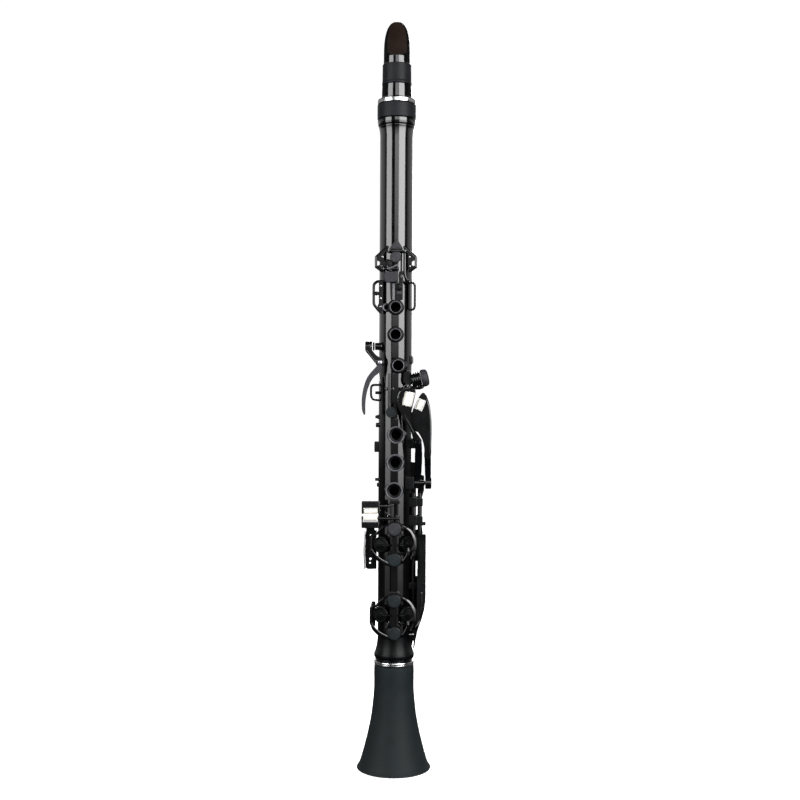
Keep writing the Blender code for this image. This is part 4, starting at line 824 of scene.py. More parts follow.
def make_side_guards():
    left = Shape()
    run = [(-9.8, 380.6), (-14.6, 380.6), (-16.9, 378.4), (-17.1, 377.0), (-17.1, 364.0),
           (-16.6, 362.2), (-13.6, 358.4), (-11.6, 356.4)]
    left.tube([(x, -10.6, z) for x, z in soften(run, 1.6, 5, closed=False)], 1.1, FRAME, flat=1.2)
    inner = [(-9.9, 380.6), (-13.2, 380.4), (-13.2, 363.4), (-14.2, 361.4), (-13.6, 359.2),
             (-12.6, 356.6), (-11.0, 355.2), (-9.9, 362.0)]
    left.plate(soften(inner, 0.5), (-12.0, -8.4), FRAME, 0.4)
    left.tube([(-17.0, -10.6, 371.2), (-12.0, -10.6, 371.2)], 1.35, FRAME, 12, flat=1.3)
    left.rod((-14.9, -12.2, 371.2), (-14.9, -9.6, 371.2), 1.6, FRAME, 28, 0.4)
    for z in (377.0, 367.4, 361.0):
        screw(left, (-11.6, -12.0, z), (0, -1, 0), 0.8, STEEL, 40)
    left.finish("left_guard_frame", "body", ["left_guard"])

    right = Shape()
    run = [(9.8, 379.6), (12.6, 379.9), (14.2, 379.0), (14.9, 377.2), (14.9, 361.4),
           (14.2, 359.4), (12.6, 358.6), (9.8, 359.0)]
    right.tube([(x, -10.6, z) for x, z in soften(run, 1.2, 5, closed=False)], 0.9, FRAME, flat=1.4)
    right.plate(soften([(9.8, 379.2), (11.2, 379.2), (11.2, 359.2), (9.8, 359.2)], 0.3),
                (-11.6, -8.4), FRAME, 0.3)
    right.finish("right_guard_frame", "body", ["right_guard"])

    stack = Shape()
    stack.plate(soften([(-4.6, 379.4), (5.6, 379.4), (5.6, 366.2), (-0.6, 364.6), (-4.0, 366.0)],
                       1.0), (-14.6, -11.6), FRAME, 0.6)
    # A bar painted light grey as a highlight.
    stack.tube([(-1.7, -15.0, 378.0), (-1.7, -15.0, 366.2)], 1.0, PAINTED_HIGHLIGHT, flat=0.7)
    stack.lathe([(0, 0), (2.3, 0), (2.5, 0.4), (2.5, 1.3), (2.1, 1.8), (0, 2.0)],
                (2.4, -14.4, 375.8), (0, -1, 0), SHADE, 40, 0.2)
    stack.block((0.8, 4.8), (-15.2, -14.0), (370.2, 372.6), TOUCH, 0.35)
    stack.sweep([(6.8, -15.4, 402.0), (6.7, -15.6, 394.0), (6.9, -15.4, 385.4), (8.4, -14.6, 381.6),
                 (10.8, -13.2, 379.2)], 6, 1.05, FRAME, 16)
    stack.sweep([(7.3, -16.3, 401.4), (7.2, -16.5, 394.0), (7.4, -16.3, 385.6), (8.9, -15.5, 381.8),
                 (11.0, -14.1, 379.6)], 6, [0.35, 0.5, 0.5, 0.35], GLOSS, flat=0.4, up=RIGHT_FACE)
    # A small nub painted light grey as a spot of highlight.
    stack.lathe([(0, 0), (1.2, 0), (1.3, 0.3), (1.1, 0.8), (0, 0.9)], (4.4, -14.4, 384.2),
                (0, -1, 0), PAINTED_HIGHLIGHT, 28, 0.15)
    stack.plate(soften([(3.0, 388.4), (5.8, 388.4), (5.8, 379.0), (3.0, 379.0)], 0.8),
                (-14.8, -11.6), FRAME, 0.5)
    stack.finish("upper_key_bridge")

    guide = Shape()
    run = [(-12.4, -4.0, 300.2), (-17.0, -4.0, 300.1), (-18.6, -4.0, 299.0), (-18.95, -4.0, 297.2),
           (-18.95, -4.0, 292.4), (-18.3, -4.0, 290.2), (-16.8, -4.0, 288.8), (-12.4, -4.0, 288.2)]
    guide.sweep(run, 5, 0.9, FRAME, flat=1.2)
    guide.rod((-12.6, -4.0, 294.1), (-15.7, -4.0, 294.1), 1.25, FRAME, 24, 0.3, 1.1)
    guide.finish("lever_guide_loop", "body", ["lever_guide"])


def make_ring_guard(name, node, z, stops, foot, pierced):
    """A moulded guard over two low pads: bright-edged arcs, a middle bar and a pierced foot."""
    shape = Shape()
    y = GUARD_Y
    low = stops[1] - z

    def lit_arc(points, radius, depths, face, shine, skip=0):
        """A dull bar, with a glossy ribbon along its front from the skipped points on."""
        run = through([(x, y, z + h) for x, h in points], 6)
        shape.tube([(p.x, p.y + depths[0], p.z) for p in run], radius, FRAME)
        shape.tube([(p.x, p.y + depths[1], p.z) for p in run[skip:]], shine, GLOSS, 18, flat=0.3, up=face)

    lit_arc([(3.2, 15.4), (8.0, 13.8), (12.4, 10.4), (15.2, 5.4), (16.0, 0.4), (15.8, -4.0),
             (14.8, -8.6), (13.4, -11.2)],
            1.15, (0.5, -0.8), RIGHT_FACE, [0.7, 1.3, 1.6, 1.6, 1.4, 1.0], skip=4)
    shape.sweep([(x, y + 0.3, z + h) for x, h in (
        (-13.6, 8.0), (-10.6, 11.6), (-6.0, 14.7), (0.0, 16.0), (3.2, 15.4))], 6, 0.95, FRAME)
    lit_arc([(-17.6, low + 7.6), (-15.4, low + 3.6), (-11.6, low + 0.2), (-7.2, low - 2.2),
             (-3.0, low - 3.8)],
            1.15, (0.5, -0.8), LEFT_FACE, [0.9, 1.5, 1.7, 1.7, 1.4])
    lit_arc([(3.6, low - 3.4), (7.2, low - 0.9), (9.8, low + 2.6), (10.9, low + 6.2),
             (10.7, low + 8.8)],
            0.95, (0.4, -0.7), RIGHT_FACE, [0.8, 1.2, 1.4, 1.3, 1.0])
    shape.plate(soften([(-2.3, stops[0] + 3.0), (2.3, stops[0] + 3.0), (2.3, stops[1] - 3.0),
                        (-2.3, stops[1] - 3.0)], 0.4), (y - 0.4, y + 0.7), FRAME, 0.3)
    for x in (-1.5, 1.5):
        shape.tube([(x, y - 0.45, stops[0] - 5.2), (x, y - 0.45, stops[1] + 5.2)], 0.32, FRAME, 10)
    for h in stops:
        shape.lathe([(0, -0.8), (5.3, -0.8), (5.7, -0.2), (5.3, 0.9), (4.8, 1.1), (0, 1.1)],
                    (0, y, h), (0, -1, 0), FRAME, 56, 0.25)
    for s in (-6.8, 4.9):
        shape.sweep([(s - 0.6, y + 0.6, stops[1] - 1.0), (s * 0.85, y + 0.3, stops[1] + 5.0),
                     (s * 0.25, y + 0.2, stops[1] + 7.4)], 5, 0.5, FRAME, 10)
    for h in (-10.8, 8.4):
        shape.tube([(13.0, y + 0.2, z + h + 1.2), (12.95, -14.0, z + h + 1.2),
                    (12.0, -11.6, z + h + 1.2), (8.6, -11.0, z + h + 1.2)], 1.05, FRAME)
    outer, inner, bottom, top = foot
    outline = [(outer, top), (inner, top), (inner, bottom), (outer + 1.4, bottom), (outer, bottom + 1.6)]
    plate = Shape()
    plate.plate(soften(outline, 0.9), (-8.2, -5.6), FRAME, 0.5)
    obj = plate.finish("foot")
    cutters = Shape()
    for x, h, r, slant in pierced:
        cutters.rod((x, -12.0, h), (x + slant, -2.0, h), r, INSIDE, 24, 0)
    carve(obj, cutters)
    shape.join(obj)
    for level in (-3.2, 4.6):
        shape.block((-18.7, -17.1), (y + 0.4, -6.2), (z + level - 1.2, z + level + 1.2), FRAME, 0.5)
    shape.tube([(-18.0, y + 0.3, z + 6.2), (-18.0, y + 0.3, z - 5.4)], 0.95, FRAME)
    shape.tube([(-18.0, y + 0.3, z + 6.2), (-13.6, y + 0.3, z + 8.0)], 0.9, FRAME)
    shape.finish(name, "body", [node])


def make_guards():
    make_ring_guard("upper_pad_guard", "upper_ring_guard", 177.5, (189.3, 165.7),
                    (-22.8, -13.9, 156.6, 189.6),
                    [(-14.6, 187.9, 1.0, 0.0), (-18.6, 183.0, 0.7, 0.0), (-18.4, 178.0, 0.8, 0.0),
                     (-14.3, 180.6, 0.7, 1.0), (-16.0, 174.6, 0.6, 1.0),
                     (-18.7, 164.6, 0.9, 0.0), (-19.0, 161.4, 0.7, 0.0)])
    make_ring_guard("lower_pad_guard", "lower_ring_guard", LOWER_PADS_Z, (134.1, 109.2),
                    (-17.8, -14.6, 112.0, 131.4), [])
    for prefix, points, radius in (
            ("upper", [(-22.4, 188.0), (-23.3, 184.0), (-23.4, 170.0), (-23.2, 157.4)], 0.95),
            ("lower", [(-17.8, 130.0), (-18.1, 126.0), (-17.9, 118.0), (-17.7, 112.8)], 0.6)):
        bar = Shape()
        bar.tube([(x, -8.9, z) for x, z in points], radius, STEEL, 16, flat=0.5, up=LEFT_FACE)
        bar.finish(prefix + "_guard_rail")
    for prefix, stops in (("upper", (189.3, 165.7)), ("lower", (134.1, 109.2))):
        for z, place in zip(stops, ("top", "bottom")):
            cap = Shape()
            mat = TOUCH if (prefix, place) == ("upper", "top") else SLATE
            cap.lathe([(0, 0.0), (4.7, 0.0), (5.0, 0.25), (5.0, 0.9), (4.7, 1.25), (3.4, 1.4),
                       (0, 1.46)], (0, GUARD_Y - 1.2, z), (0, -1, 0), mat, 56, 0.25)
            cap.finish(prefix + "_soft_stop_" + place, "body", [prefix + "_bumper_" + place], "touch_grey")


def make_rod_fairing():
    """The long moulded cover over the outer link rod."""
    shape = Shape()
    outline = [(17.6, 184.6), (24.2, 184.6), (24.4, 183.8), (24.4, 137.0), (23.5, 126.2), (21.4, 118.8),
               (18.5, 110.6), (16.9, 103.4), (15.7, 95.8), (14.8, 96.0), (15.5, 103.4), (16.9, 112.0),
               (17.6, 118.0), (17.6, 158.0), (19.2, 160.0), (19.2, 166.0), (17.6, 168.0)]
    shape.plate(soften(outline, 0.9), (-12.5, -10.7), FRAME, 0.55, 3)
    shape.plate(soften([(-12.0, 184.4), (-2.0, 184.4), (-2.0, 134.0), (-4.0, 131.0),
                        (-12.0, 131.0)], 0.8), (22.7, 24.35), FRAME, 0.5, 3,
                Matrix(((0, 1, 0, 0), (1, 0, 0, 0), (0, 0, 1, 0), (0, 0, 0, 1))))
    ridge = [(21.4, -12.7, 139.0), (21.4, -12.7, 130.0), (20.6, -12.7, 122.6), (18.4, -12.6, 114.0),
             (16.2, -12.5, 108.6)]
    shape.sweep(ridge, 6, [0.7, 0.9, 1.0, 1.0, 0.9], GLOSS, 16, flat=0.35, up=RIGHT_FACE)
    for z in (178.0, 146.0):
        screw(shape, (22.4, -12.5, z), (0, -1, 0), 0.8, FRAME, 30)
    shape.sweep([(20.2, -13.2, 117.4), (18.2, -13.4, 114.4), (16.0, -13.2, 111.8)], 5, 0.85, GLOSS,
                flat=0.5, up=LEFT_FACE)
    shape.rod((11.6, -13.2, 106.9), (15.0, -13.2, 106.9), 1.0, STEEL, 20, 0.2)
    shape.block((11.4, 15.2), (-13.0, -8.4), (105.7, 107.4), FRAME, 0.4)
    shape.finish("rod_cover", "body", ["rod_fairing"])


def make_rods():
    """Steel pins of the keys and the axle of the left little-finger levers."""
    for node, (x, y), low, high in (
            ("upper_left_pin", LEFT_PAD_HINGE, 164.2, 210.8),
            ("upper_right_pin", RIGHT_PAD_HINGE, 164.2, 210.8),
            ("lower_left_pin", LEFT_PAD_HINGE, 107.3, 139.5),
            ("lower_right_pin", RIGHT_PAD_HINGE, 107.3, 139.5)):
        shape = Shape()
        shape.rod((x, y, low), (x, y, high), 0.8, FRAME, 24, 0.15)
        shape.finish(node + "_rod", "body", [node], "steel")
    axle = Shape()
    axle.rod((8.9, *LEVER_AXIS), (27.2, *LEVER_AXIS), 1.2, GLOSS, 32, 0.2)
    axle.lathe([(0, 0), (2.0, 0), (2.2, 0.3), (2.2, 3.7), (2.0, 4.0), (0, 4.0)],
               (19.3, *LEVER_AXIS), (1, 0, 0), GLOSS, 40, 0.15)
    axle.finish("left_lever_axle_rod", "body", ["left_lever_axle"], "steel")
    pin = Shape()
    pin.rod((-12.0, -14.4, 317.5), (-12.0, -1.8, 317.5), 1.0, STEEL, 28, 0.15)
    pin.lathe([(0, 0), (1.75, 0), (1.75, 0.35), (1.3, 0.7), (0, 0.75)], (-12.0, -14.35, 317.5),
              (0, -1, 0), STEEL, 36, 0.15)
    pin.rod((-13.1, -15.1, 317.2), (-10.9, -15.1, 317.8), 0.14, INSIDE, 8, 0)
    pin.finish("side_trill_pivot", "body", ["side_trill_pin"], "steel")


# ---------------------------------------------------------------- small keys on the front
def hinge_tube(shape, x0, x1, y, z, radius=1.2):
    """A key's hinge tube across the body, with turned grooves and its steel pivots."""
    shape.lathe([(0, 0), (radius, 0), (radius, 0.7), (radius * 0.78, 0.8), (radius * 0.78, 1.1),
                 (radius, 1.2), (radius, x1 - x0 - 1.2), (radius * 0.78, x1 - x0 - 1.1),
                 (radius * 0.78, x1 - x0 - 0.8), (radius, x1 - x0 - 0.7), (radius, x1 - x0),
                 (0, x1 - x0)], (x0, y, z), (1, 0, 0), GLOSS_FINE, 32, 0.08)
    shape.rod((x0 - 1.1, y, z), (x0 + 0.4, y, z), 0.6, STEEL, 20, 0.05)
    shape.rod((x1 - 0.4, y, z), (x1 + 1.1, y, z), 0.6, STEEL, 20, 0.05)


def spring(shape, points):
    """A thin steel needle spring."""
    shape.sweep(points, 5, [0.2, 0.14], STEEL, 8)


def cup_disc(shape, place, axis, radius, mat=None):
    """A pad cup: a turned rim, a shallow step and a domed middle."""
    mat = mat or GLOSS_FINE
    shape.lathe([(0, 0), (radius * 0.96, 0), (radius, 0.25), (radius, 0.8), (radius * 0.93, 1.2),
                 (radius * 0.8, 1.35), (radius * 0.72, 1.2), (radius * 0.5, 1.4), (0, 1.5)],
                place, axis, mat, 56, 0.12)


def pad_look(name, key, node, place, axis, radius, thick=1.1, turn=None, mat=None):
    mat = mat or PAD
    shape = Shape()
    shape.lathe([(0, 0), (radius * 0.5, 0.05), (radius * 0.9, 0), (radius, 0.3), (radius, thick - 0.15),
                 (radius * 0.94, thick), (0, thick)], place, axis, mat, 56, 0.12)
    shape.rod(Vector(place) - Vector(axis) * 0.05, Vector(place) + Vector(axis) * 0.12,
              radius * 0.16, SEAL, 20, 0.02)
    if turn is not None:
        shape.turn(turn)
    shape.finish(name, key, [node], "pad_silicone")


def make_a_key():
    y, z = THROAT_A_AXIS
    shape = Shape()
    hinge_tube(shape, -5.2, 5.8, y, z)
    for x in (-3.0, -1.0, 1.0, 3.0):
        shape.lathe([(1.15, -0.55), (1.5, -0.5), (1.5, 0.5), (1.15, 0.55)], (x, y, z), (1, 0, 0),
                    GLOSS_FINE, 28, 0.1)
    triangle = soften([(0.6, 413.4), (-5.5, 404.9), (5.8, 404.9)], 0.9, 4)
    shape.pillow(triangle, -17.7, -15.9, 0.25, TOUCH, 0.55)
    shape.block((-2.0, 2.2), (-16.9, -15.6), (396.6, 406.4), GLOSS_FINE, 0.4)
    shape.lathe([(0, 0), (4.1, 0), (4.35, 0.3), (4.35, 1.5), (4.1, 2.0), (3.3, 2.35), (0, 2.5)],
                (-0.3, -15.6, 398.7), (0, -1, 0), TOUCH, 64, 0.25)
    spring(shape, [(2.6, -15.2, 403.2), (2.7, -14.6, 399.0), (2.6, -14.1, 395.2)])
    shape.finish("throat_a_lever", "throat_a_key", ["throat_a_key"])
    pad_look("throat_a_pad_disc", "throat_a_key", "throat_a_pad", (0.3, -14.2, 408.3), (0, -1, 0), 2.7)


def make_g_sharp_key():
    y, z = G_SHARP_AXIS
    shape = Shape()
    hinge_tube(shape, -9.0, 1.0, y, z)
    cup_disc(shape, (-6.3, -15.6, 393.7), (0, -1, 0), 3.6, SHADE)
    shape.tube([(-6.2, -16.4, 392.4), (-5.6, -16.8, 390.4), (-3.6, -17.2, 388.2)], 1.1, GLOSS_FINE,
               14, flat=0.6)
    # The lever bar, painted light grey as a highlight.
    shape.sweep([(-6.4, -17.4, 389.8), (-2.4, -17.6, 391.0), (1.2, -17.3, 392.6)], 5, 0.7, PAINTED_HIGHLIGHT)
    plate = soften([(-9.0, 387.2), (1.8, 387.9), (2.4, 383.0), (0.2, 379.4), (-7.4, 378.9),
                    (-9.0, 381.4)], 3.2, 6)
    shape.pillow(plate, -17.9, -15.8, -0.25, TOUCH, 0.8)
    spring(shape, [(-7.6, -15.2, 389.4), (-7.7, -14.2, 385.4), (-7.6, -13.3, 381.8)])
    shape.finish("throat_g_sharp_lever", "throat_g_sharp_key", ["throat_g_sharp_key"])
    pad_look("throat_g_sharp_pad_disc", "throat_g_sharp_key", "throat_g_sharp_pad",
             (-6.0, -14.2, 393.6), (0, -1, 0), 2.5)


def make_register_key():
    y, z = REGISTER_AXIS
    shape = Shape()
    hinge_tube(shape, -3.9, 3.9, y, z)
    shape.sweep([(0, 17.2, 408.0), (0, 17.0, 420.0), (0, 16.9, 428.0), (0, 17.0, 432.4)], 6,
                [1.7, 1.3, 1.2, 1.5], GLOSS_FINE, 16, flat=0.55, up=(0, 1, 0))
    cup_disc(shape, (0, 15.9, 433.0), (0, 1, 0), 3.5)
    outline = [(0.0, 411.6), (2.4, 409.4), (3.9, 405.4), (3.4, 400.8), (0.0, 398.7),
               (-3.4, 400.8), (-3.9, 405.4), (-2.4, 409.4)]
    shape.pillow(through(outline, 6, True), 18.3, 16.1, -0.4, GLOSS_FINE, -0.8)
    spring(shape, [(1.4, 15.5, 419.6), (1.4, 15.4, 414.6), (1.3, 15.3, 411.0)])
    shape.finish("register_lever", "register_key", ["register_key"])
    pad_look("register_pad_disc", "register_key", "register_pad", (0, 14.5, 433.0), (0, 1, 0), 2.8)


# ---------------------------------------------------------------- side keys
def make_side_trill_key():
    shape = Shape()
    x, z = TRILL_AXIS
    bore = 1.3
    shape.lathe([(bore, 0), (3.1, 0), (3.4, 0.3), (3.4, 3.6), (3.1, 3.9), (bore, 3.9)],
                (x, -10.3, z), (0, -1, 0), GLOSS_FINE, 48, 0.15)
    arm = [(-10.8, 320.4), (-14.4, 315.6), (-23.2, 326.2), (-23.4, 329.6), (-20.6, 330.0), (-15.4, 323.6)]
    shape.plate(soften(arm, 0.8, 3), (-13.8, -11.0), SHADE, 0.7, 3)
    shape.tube([(-22.8, -13.9, 326.8), (-15.6, -13.9, 317.8)], 0.6, GLOSS, flat=0.4, up=LEFT_FACE)
    shape.lathe([(0, 0), (3.8, 0), (4.0, 0.3), (4.0, 1.4), (3.7, 1.9), (3.7, 2.6), (3.9, 3.0), (3.8, 5.0),
                 (3.4, 5.5), (0, 5.7)], (-18.1, -6.5, 330.2), (-1, 0, 0), GLOSS_FINE, 48, 0.2)
    shape.block((-23.0, -19.2), (-12.4, -8.0), (327.6, 331.0), GLOSS_FINE, 0.5)
    outer = through([(-12.6, 316.6), (-16.6, 312.4), (-20.8, 307.4), (-23.4, 302.0), (-24.9, 296.6),
                     (-25.7, 291.2), (-25.9, 285.6), (-25.5, 280.2), (-24.2, 277.0), (-23.2, 277.8),
                     (-23.2, 283.0), (-22.9, 289.0), (-21.6, 296.0), (-19.4, 302.0), (-16.4, 306.4),
                     (-13.2, 309.0), (-10.4, 312.8), (-10.6, 316.2)], 4, True)
    shape.plate(outer, (-14.3, -10.6), TOUCH, 0.9, 3)
    touch = through([(-21.0, 306.4), (-23.3, 302.4), (-24.9, 296.6), (-25.8, 291.2),
                     (-26.0, 285.6), (-25.6, 280.2), (-24.3, 277.2), (-23.4, 278.0),
                     (-23.4, 283.0), (-23.0, 289.0), (-21.8, 296.0), (-19.9, 301.6)], 4, True)
    shape.plate(touch, (-13.6, -5.6), TOUCH, 0.8, 3)
    shape.block((-17.2, -13.6), (-13.4, -10.6), (309.4, 312.4), GLOSS_FINE, 0.4)
    spring(shape, [(-14.2, -10.8, 315.4), (-13.2, -10.6, 309.0), (-11.8, -10.2, 302.0)])
    shape.finish("side_trill_lever", "side_trill_key", ["side_trill_key"])
    pad_look("side_trill_pad_disc", "side_trill_key", "side_trill_pad", (-16.4, -6.5, 330.2),
             (-1, 0, 0), 3.2, 1.4, None, SEAL)


def make_c_sharp_touch():
    y = -12.6
    shape = Shape()
    shape.lathe([(0, 0), (1.9, 0), (1.9, 2.2), (1.5, 2.4), (1.5, 6.6), (1.9, 6.8), (1.9, 9.0),
                 (0, 9.0)], (9.8, y, 299.5), (0, 0, 1), GLOSS_FINE, 32, 0.12)
    shape.rod((9.8, y, 297.0), (9.8, y, 310.8), 0.65, STEEL, 20, 0.05)
    neck = soften([(6.4, 310.4), (6.0, 304.0), (6.8, 301.2), (10.0, 300.6), (13.2, 300.6),
                   (13.8, 303.4), (13.2, 308.4), (10.6, 310.6)], 1.0, 3)
    shape.plate(neck, (-14.9, -12.0), SHADE, 0.8, 3)
    tilt = math.radians(13.0)
    way = Vector((math.cos(tilt), 0, math.sin(tilt)))
    base = Vector((12.4, -13.6, 303.4))
    ribs = [(0, 0), (5.0, 0)]
    for k in range(4):
        h = 0.5 + k * 1.75
        ribs += [(5.0, h), (5.7 + k * 0.12, h + 0.15), (5.7 + k * 0.12, h + 0.95), (5.0, h + 1.1)]
    ribs += [(5.2, 7.6), (0, 7.6)]
    shape.lathe(ribs, base, way, GLOSS_FINE, 56, 0.1)
    shape.sweep([(12.4, -11.8, 298.6), (16.4, -11.8, 297.8), (20.2, -12.0, 298.6), (21.4, -12.2, 299.4)],
                4, [1.1, 1.2, 1.5, 1.3], GLOSS_FINE)
    shape.rod((20.3, -13.4, 298.7), (20.3, -10.6, 298.7), 1.5, GLOSS_FINE, 24, 0.3)
    spring(shape, [(9.0, -12.0, 301.0), (6.6, -11.9, 299.0), (4.2, -12.4, 296.4)])
    shape.finish("c_sharp_lever", "c_sharp_touch", ["c_sharp_touch"])
    cap = Shape()
    cap.lathe([(0, 0), (6.0, 0), (6.5, 0.35), (6.75, 1.2), (6.7, 3.0), (6.3, 4.4), (5.4, 5.2),
               (3.8, 5.65), (0, 5.9)], base + way * 7.9, way, TOUCH, 72, 0.3)
    cap.finish("c_sharp_soft_cap", "c_sharp_touch", ["c_sharp_touch_cap"], "touch_grey")


def make_c_sharp_pad_key():
    y, z = C_SHARP_PAD_AXIS
    shape = Shape()
    hinge_tube(shape, -6.3, -2.9, y, z, 1.25)
    stem = through([(-4.6, -16.4, 308.0), (-4.6, -16.5, 297.0), (-4.6, -16.4, 286.0),
                    (-4.2, -16.3, 280.4)], 5)
    shape.tube(stem, [1.15, 1.2, 1.15, 1.0], GLOSS_FINE, flat=0.6)
    cup_disc(shape, (-2.8, -15.6, 278.9), (0, -1, 0), 4.4, SLATE)
    spring(shape, [(-3.6, -15.2, 296.4), (-3.5, -14.6, 291.0), (-3.4, -13.8, 287.0)])
    shape.finish("c_sharp_pad_lever", "c_sharp_pad_key", ["c_sharp_pad_key"])
    pad_look("c_sharp_pad_disc", "c_sharp_pad_key", "c_sharp_pad", (-3.1, -14.2, 279.3), (0, -1, 0), 2.9)


# ---------------------------------------------------------------- left little-finger levers
def roller_look(name, node, start, end, radius):
    """A turned roller: crowned drum, grooved ends and an axle."""
    start = Vector(start)
    end = Vector(end)
    way = (end - start).normalized()
    length = (end - start).length
    shape = Shape()
    shape.lathe([(0, 0), (radius * 0.8, 0), (radius * 0.97, 0.35), (radius * 0.97, 0.8),
                 (radius * 0.9, 0.95), (radius, 1.15), (radius, length - 1.15),
                 (radius * 0.9, length - 0.95), (radius * 0.97, length - 0.8),
                 (radius * 0.97, length - 0.35), (radius * 0.8, length), (0, length)],
                start, way, ROLLER, 56, 0.1)
    shape.rod(start - way * 0.9, end + way * 0.9, 0.6, STEEL, 20, 0.05)
    shape.finish(name, node, [node], "roller_metal")


def lever_slot(ends, radius, length, depth):
    """The cutter for the opening that a roller turns in, with its axle holes."""
    start = Vector(ends[0])
    end = Vector(ends[1])
    way = (end - start).normalized()
    middle = (start + end) / 2
    across = way.cross(Vector((0, 1, 0))).normalized()
    corners = []
    for a, b in ((-1, -1), (1, -1), (1, 1), (-1, 1)):
        spot = middle + way * (length / 2) * b + across * (radius + 0.45) * a
        corners.append((spot.x, spot.z))
    cutters = Shape()
    cutters.plate(soften(corners, 0.5), (middle.y - depth, middle.y + depth), GLOSS_FINE, 0)
    cutters.rod(start - way * 1.15, end + way * 1.15, 0.8, INSIDE, 18, 0)
    return cutters


def make_left_levers():
    inner_ends = ((8.6, -20.9, 283.9), (11.2, -20.9, 294.6))
    outer_ends = ((17.7, -17.6, 281.2), (20.8, -17.6, 288.8))
    leaf = Shape()
    outline = through([(5.0, 298.4), (1.6, 295.0), (0.4, 290.4), (1.5, 284.6), (5.2, 276.8), (9.4, 269.6),
                       (12.6, 263.4), (14.4, 257.4), (20.6, 257.0), (17.4, 262.2), (14.4, 266.4),
                       (12.9, 271.0), (12.6, 279.0), (14.4, 288.0), (15.7, 295.0), (13.9, 297.3)], 4, True)
    leaf.plate(outline, (-21.8, -19.0), FRAME, 1.0, 4)
    leaf.sweep([(2.0, -21.7, 287.6), (2.2, -21.7, 291.0), (3.6, -21.7, 294.6), (6.4, -21.7, 297.0),
                (10.6, -21.7, 297.6)], 5, [0.4, 0.8, 0.9, 0.8, 0.5], GLOSS, flat=0.5, up=LEFT_FACE)
    leaf.sweep([(7.4, -21.7, 277.0), (10.2, -21.7, 271.6), (13.4, -21.6, 265.6), (15.6, -21.4, 261.4)], 5,
               [0.4, 0.9, 0.9, 0.5], SHADE, flat=0.5, up=RIGHT_FACE)
    obj = leaf.finish("leaf", "left_inner_lever")
    carve(obj, lever_slot(inner_ends, 3.6, 11.7, 8.0))
    shape = Shape()
    shape.join(obj)
    shape.sweep([(17.2, -20.3, 260.4), (18.1, -18.6, 253.0), (18.2, -15.2, 243.0), (18.1, -12.0, 234.0),
                 (17.6, -9.6, 227.0)], 5, [1.5, 2.7, 2.9, 2.7, 2.0], FRAME, 20, flat=0.5)
    ring_x(shape, 15.3, 19.0, *LEVER_AXIS, 1.35, 3.0)
    shape.finish("left_inner_lever_body", "left_inner_lever", ["left_inner_lever"])
    roller_look("left_inner_roller_drum", "left_inner_roller", *inner_ends, 3.6)

    blade = Shape()
    outline = through([(21.2, 294.2), (18.2, 290.8), (15.2, 284.4), (13.2, 279.2), (13.5, 271.6),
                       (15.4, 266.8), (18.6, 262.4), (21.2, 257.4), (22.6, 251.0), (22.8, 243.6),
                       (27.4, 243.6), (28.0, 254.0), (28.2, 266.0), (27.8, 276.0), (26.4, 285.4),
                       (23.8, 292.4)], 4, True)
    blade.plate(outline, (-18.8, -16.0), FRAME, 0.9, 4)
    blade.sweep([(24.2, -18.6, 289.4), (26.2, -18.7, 282.6), (27.3, -18.7, 274.6), (27.6, -18.7, 266.0),
                 (27.5, -18.7, 256.0), (27.0, -18.6, 247.0)], 5, [0.4, 0.6, 0.7, 0.7, 0.6, 0.4], GLOSS,
                flat=0.5, up=RIGHT_FACE)
    obj = blade.finish("blade", "left_outer_lever")
    carve(obj, lever_slot(outer_ends, 2.7, 8.6, 8.0))
    shape = Shape()
    shape.join(obj)
    lip = [(11.8, 279.0), (14.2, 279.6), (18.0, 277.0), (18.0, 268.0), (17.6, 263.6),
           (15.2, 264.4), (12.6, 268.0), (11.6, 272.0)]
    shape.plate(soften(lip, 0.6), (-14.2, -12.4), FRAME, 0.4)
    shape.block((16.4, 18.0), (-16.6, -12.8), (266.6, 276.6), FRAME, 0.4)
    shape.sweep([(25.2, -17.2, 248.0), (25.4, -15.2, 241.0), (25.6, -12.0, 233.4), (25.8, -10.0, 227.6)],
                5, [2.5, 2.5, 2.4, 2.2], FRAME, 20, flat=0.6)
    ring_x(shape, 23.6, 28.4, *LEVER_AXIS, 1.35, 4.6)
    shape.finish("left_outer_lever_body", "left_outer_lever", ["left_outer_lever"])
    roller_look("left_outer_roller_drum", "left_outer_roller", *outer_ends, 2.7)


def ring_x(shape, x0, x1, y, z, bore, radius):
    """A bearing boss across the body with a bore for its axle."""
    profile = soften([(bore, x0), (radius - 0.5, x0), (radius, x0 + 0.5), (radius, x1 - 0.5),
                      (radius - 0.5, x1), (bore, x1)], 0.15, 2)
    rings = [[(h, y + r * math.cos(a), z + r * math.sin(a)) for a in turns(48)] for r, h in profile]
    shape.grid(rings, GLOSS_FINE, closed_run=True)


def make_link_rods():
    for name, node, x, radius, low in (("inner_link", "inner_link_rod", 14.8, 1.9, 103.2),
                                       ("outer_link", "outer_link_rod", 19.6, 1.7, 122.0)):
        shape = Shape()
        profile = [(0, 0), (radius, 0)]
        for z in (126.0, 149.2, 191.2, 207.2):
            profile += [(radius, z - low), (radius * 0.82, z - low + 0.15),
                        (radius * 0.82, z - low + 0.6), (radius, z - low + 0.75)]
        profile += [(radius, 215.6 - low), (0, 215.6 - low)]
        shape.lathe(profile, (x, -4.0, low), (0, 0, 1), GLOSS_FINE, 36, 0.1)
        if low > 110:
            shape.sweep([(x, -4.0, low + 0.5), (18.7, -4.0, 117.0), (16.6, -4.2, 110.0),
                         (15.2, -4.4, 104.0)], 5, [1.6, 1.5, 1.3, 1.2], GLOSS_FINE, 16)
        shape.finish(name + "_tube", node, [node])


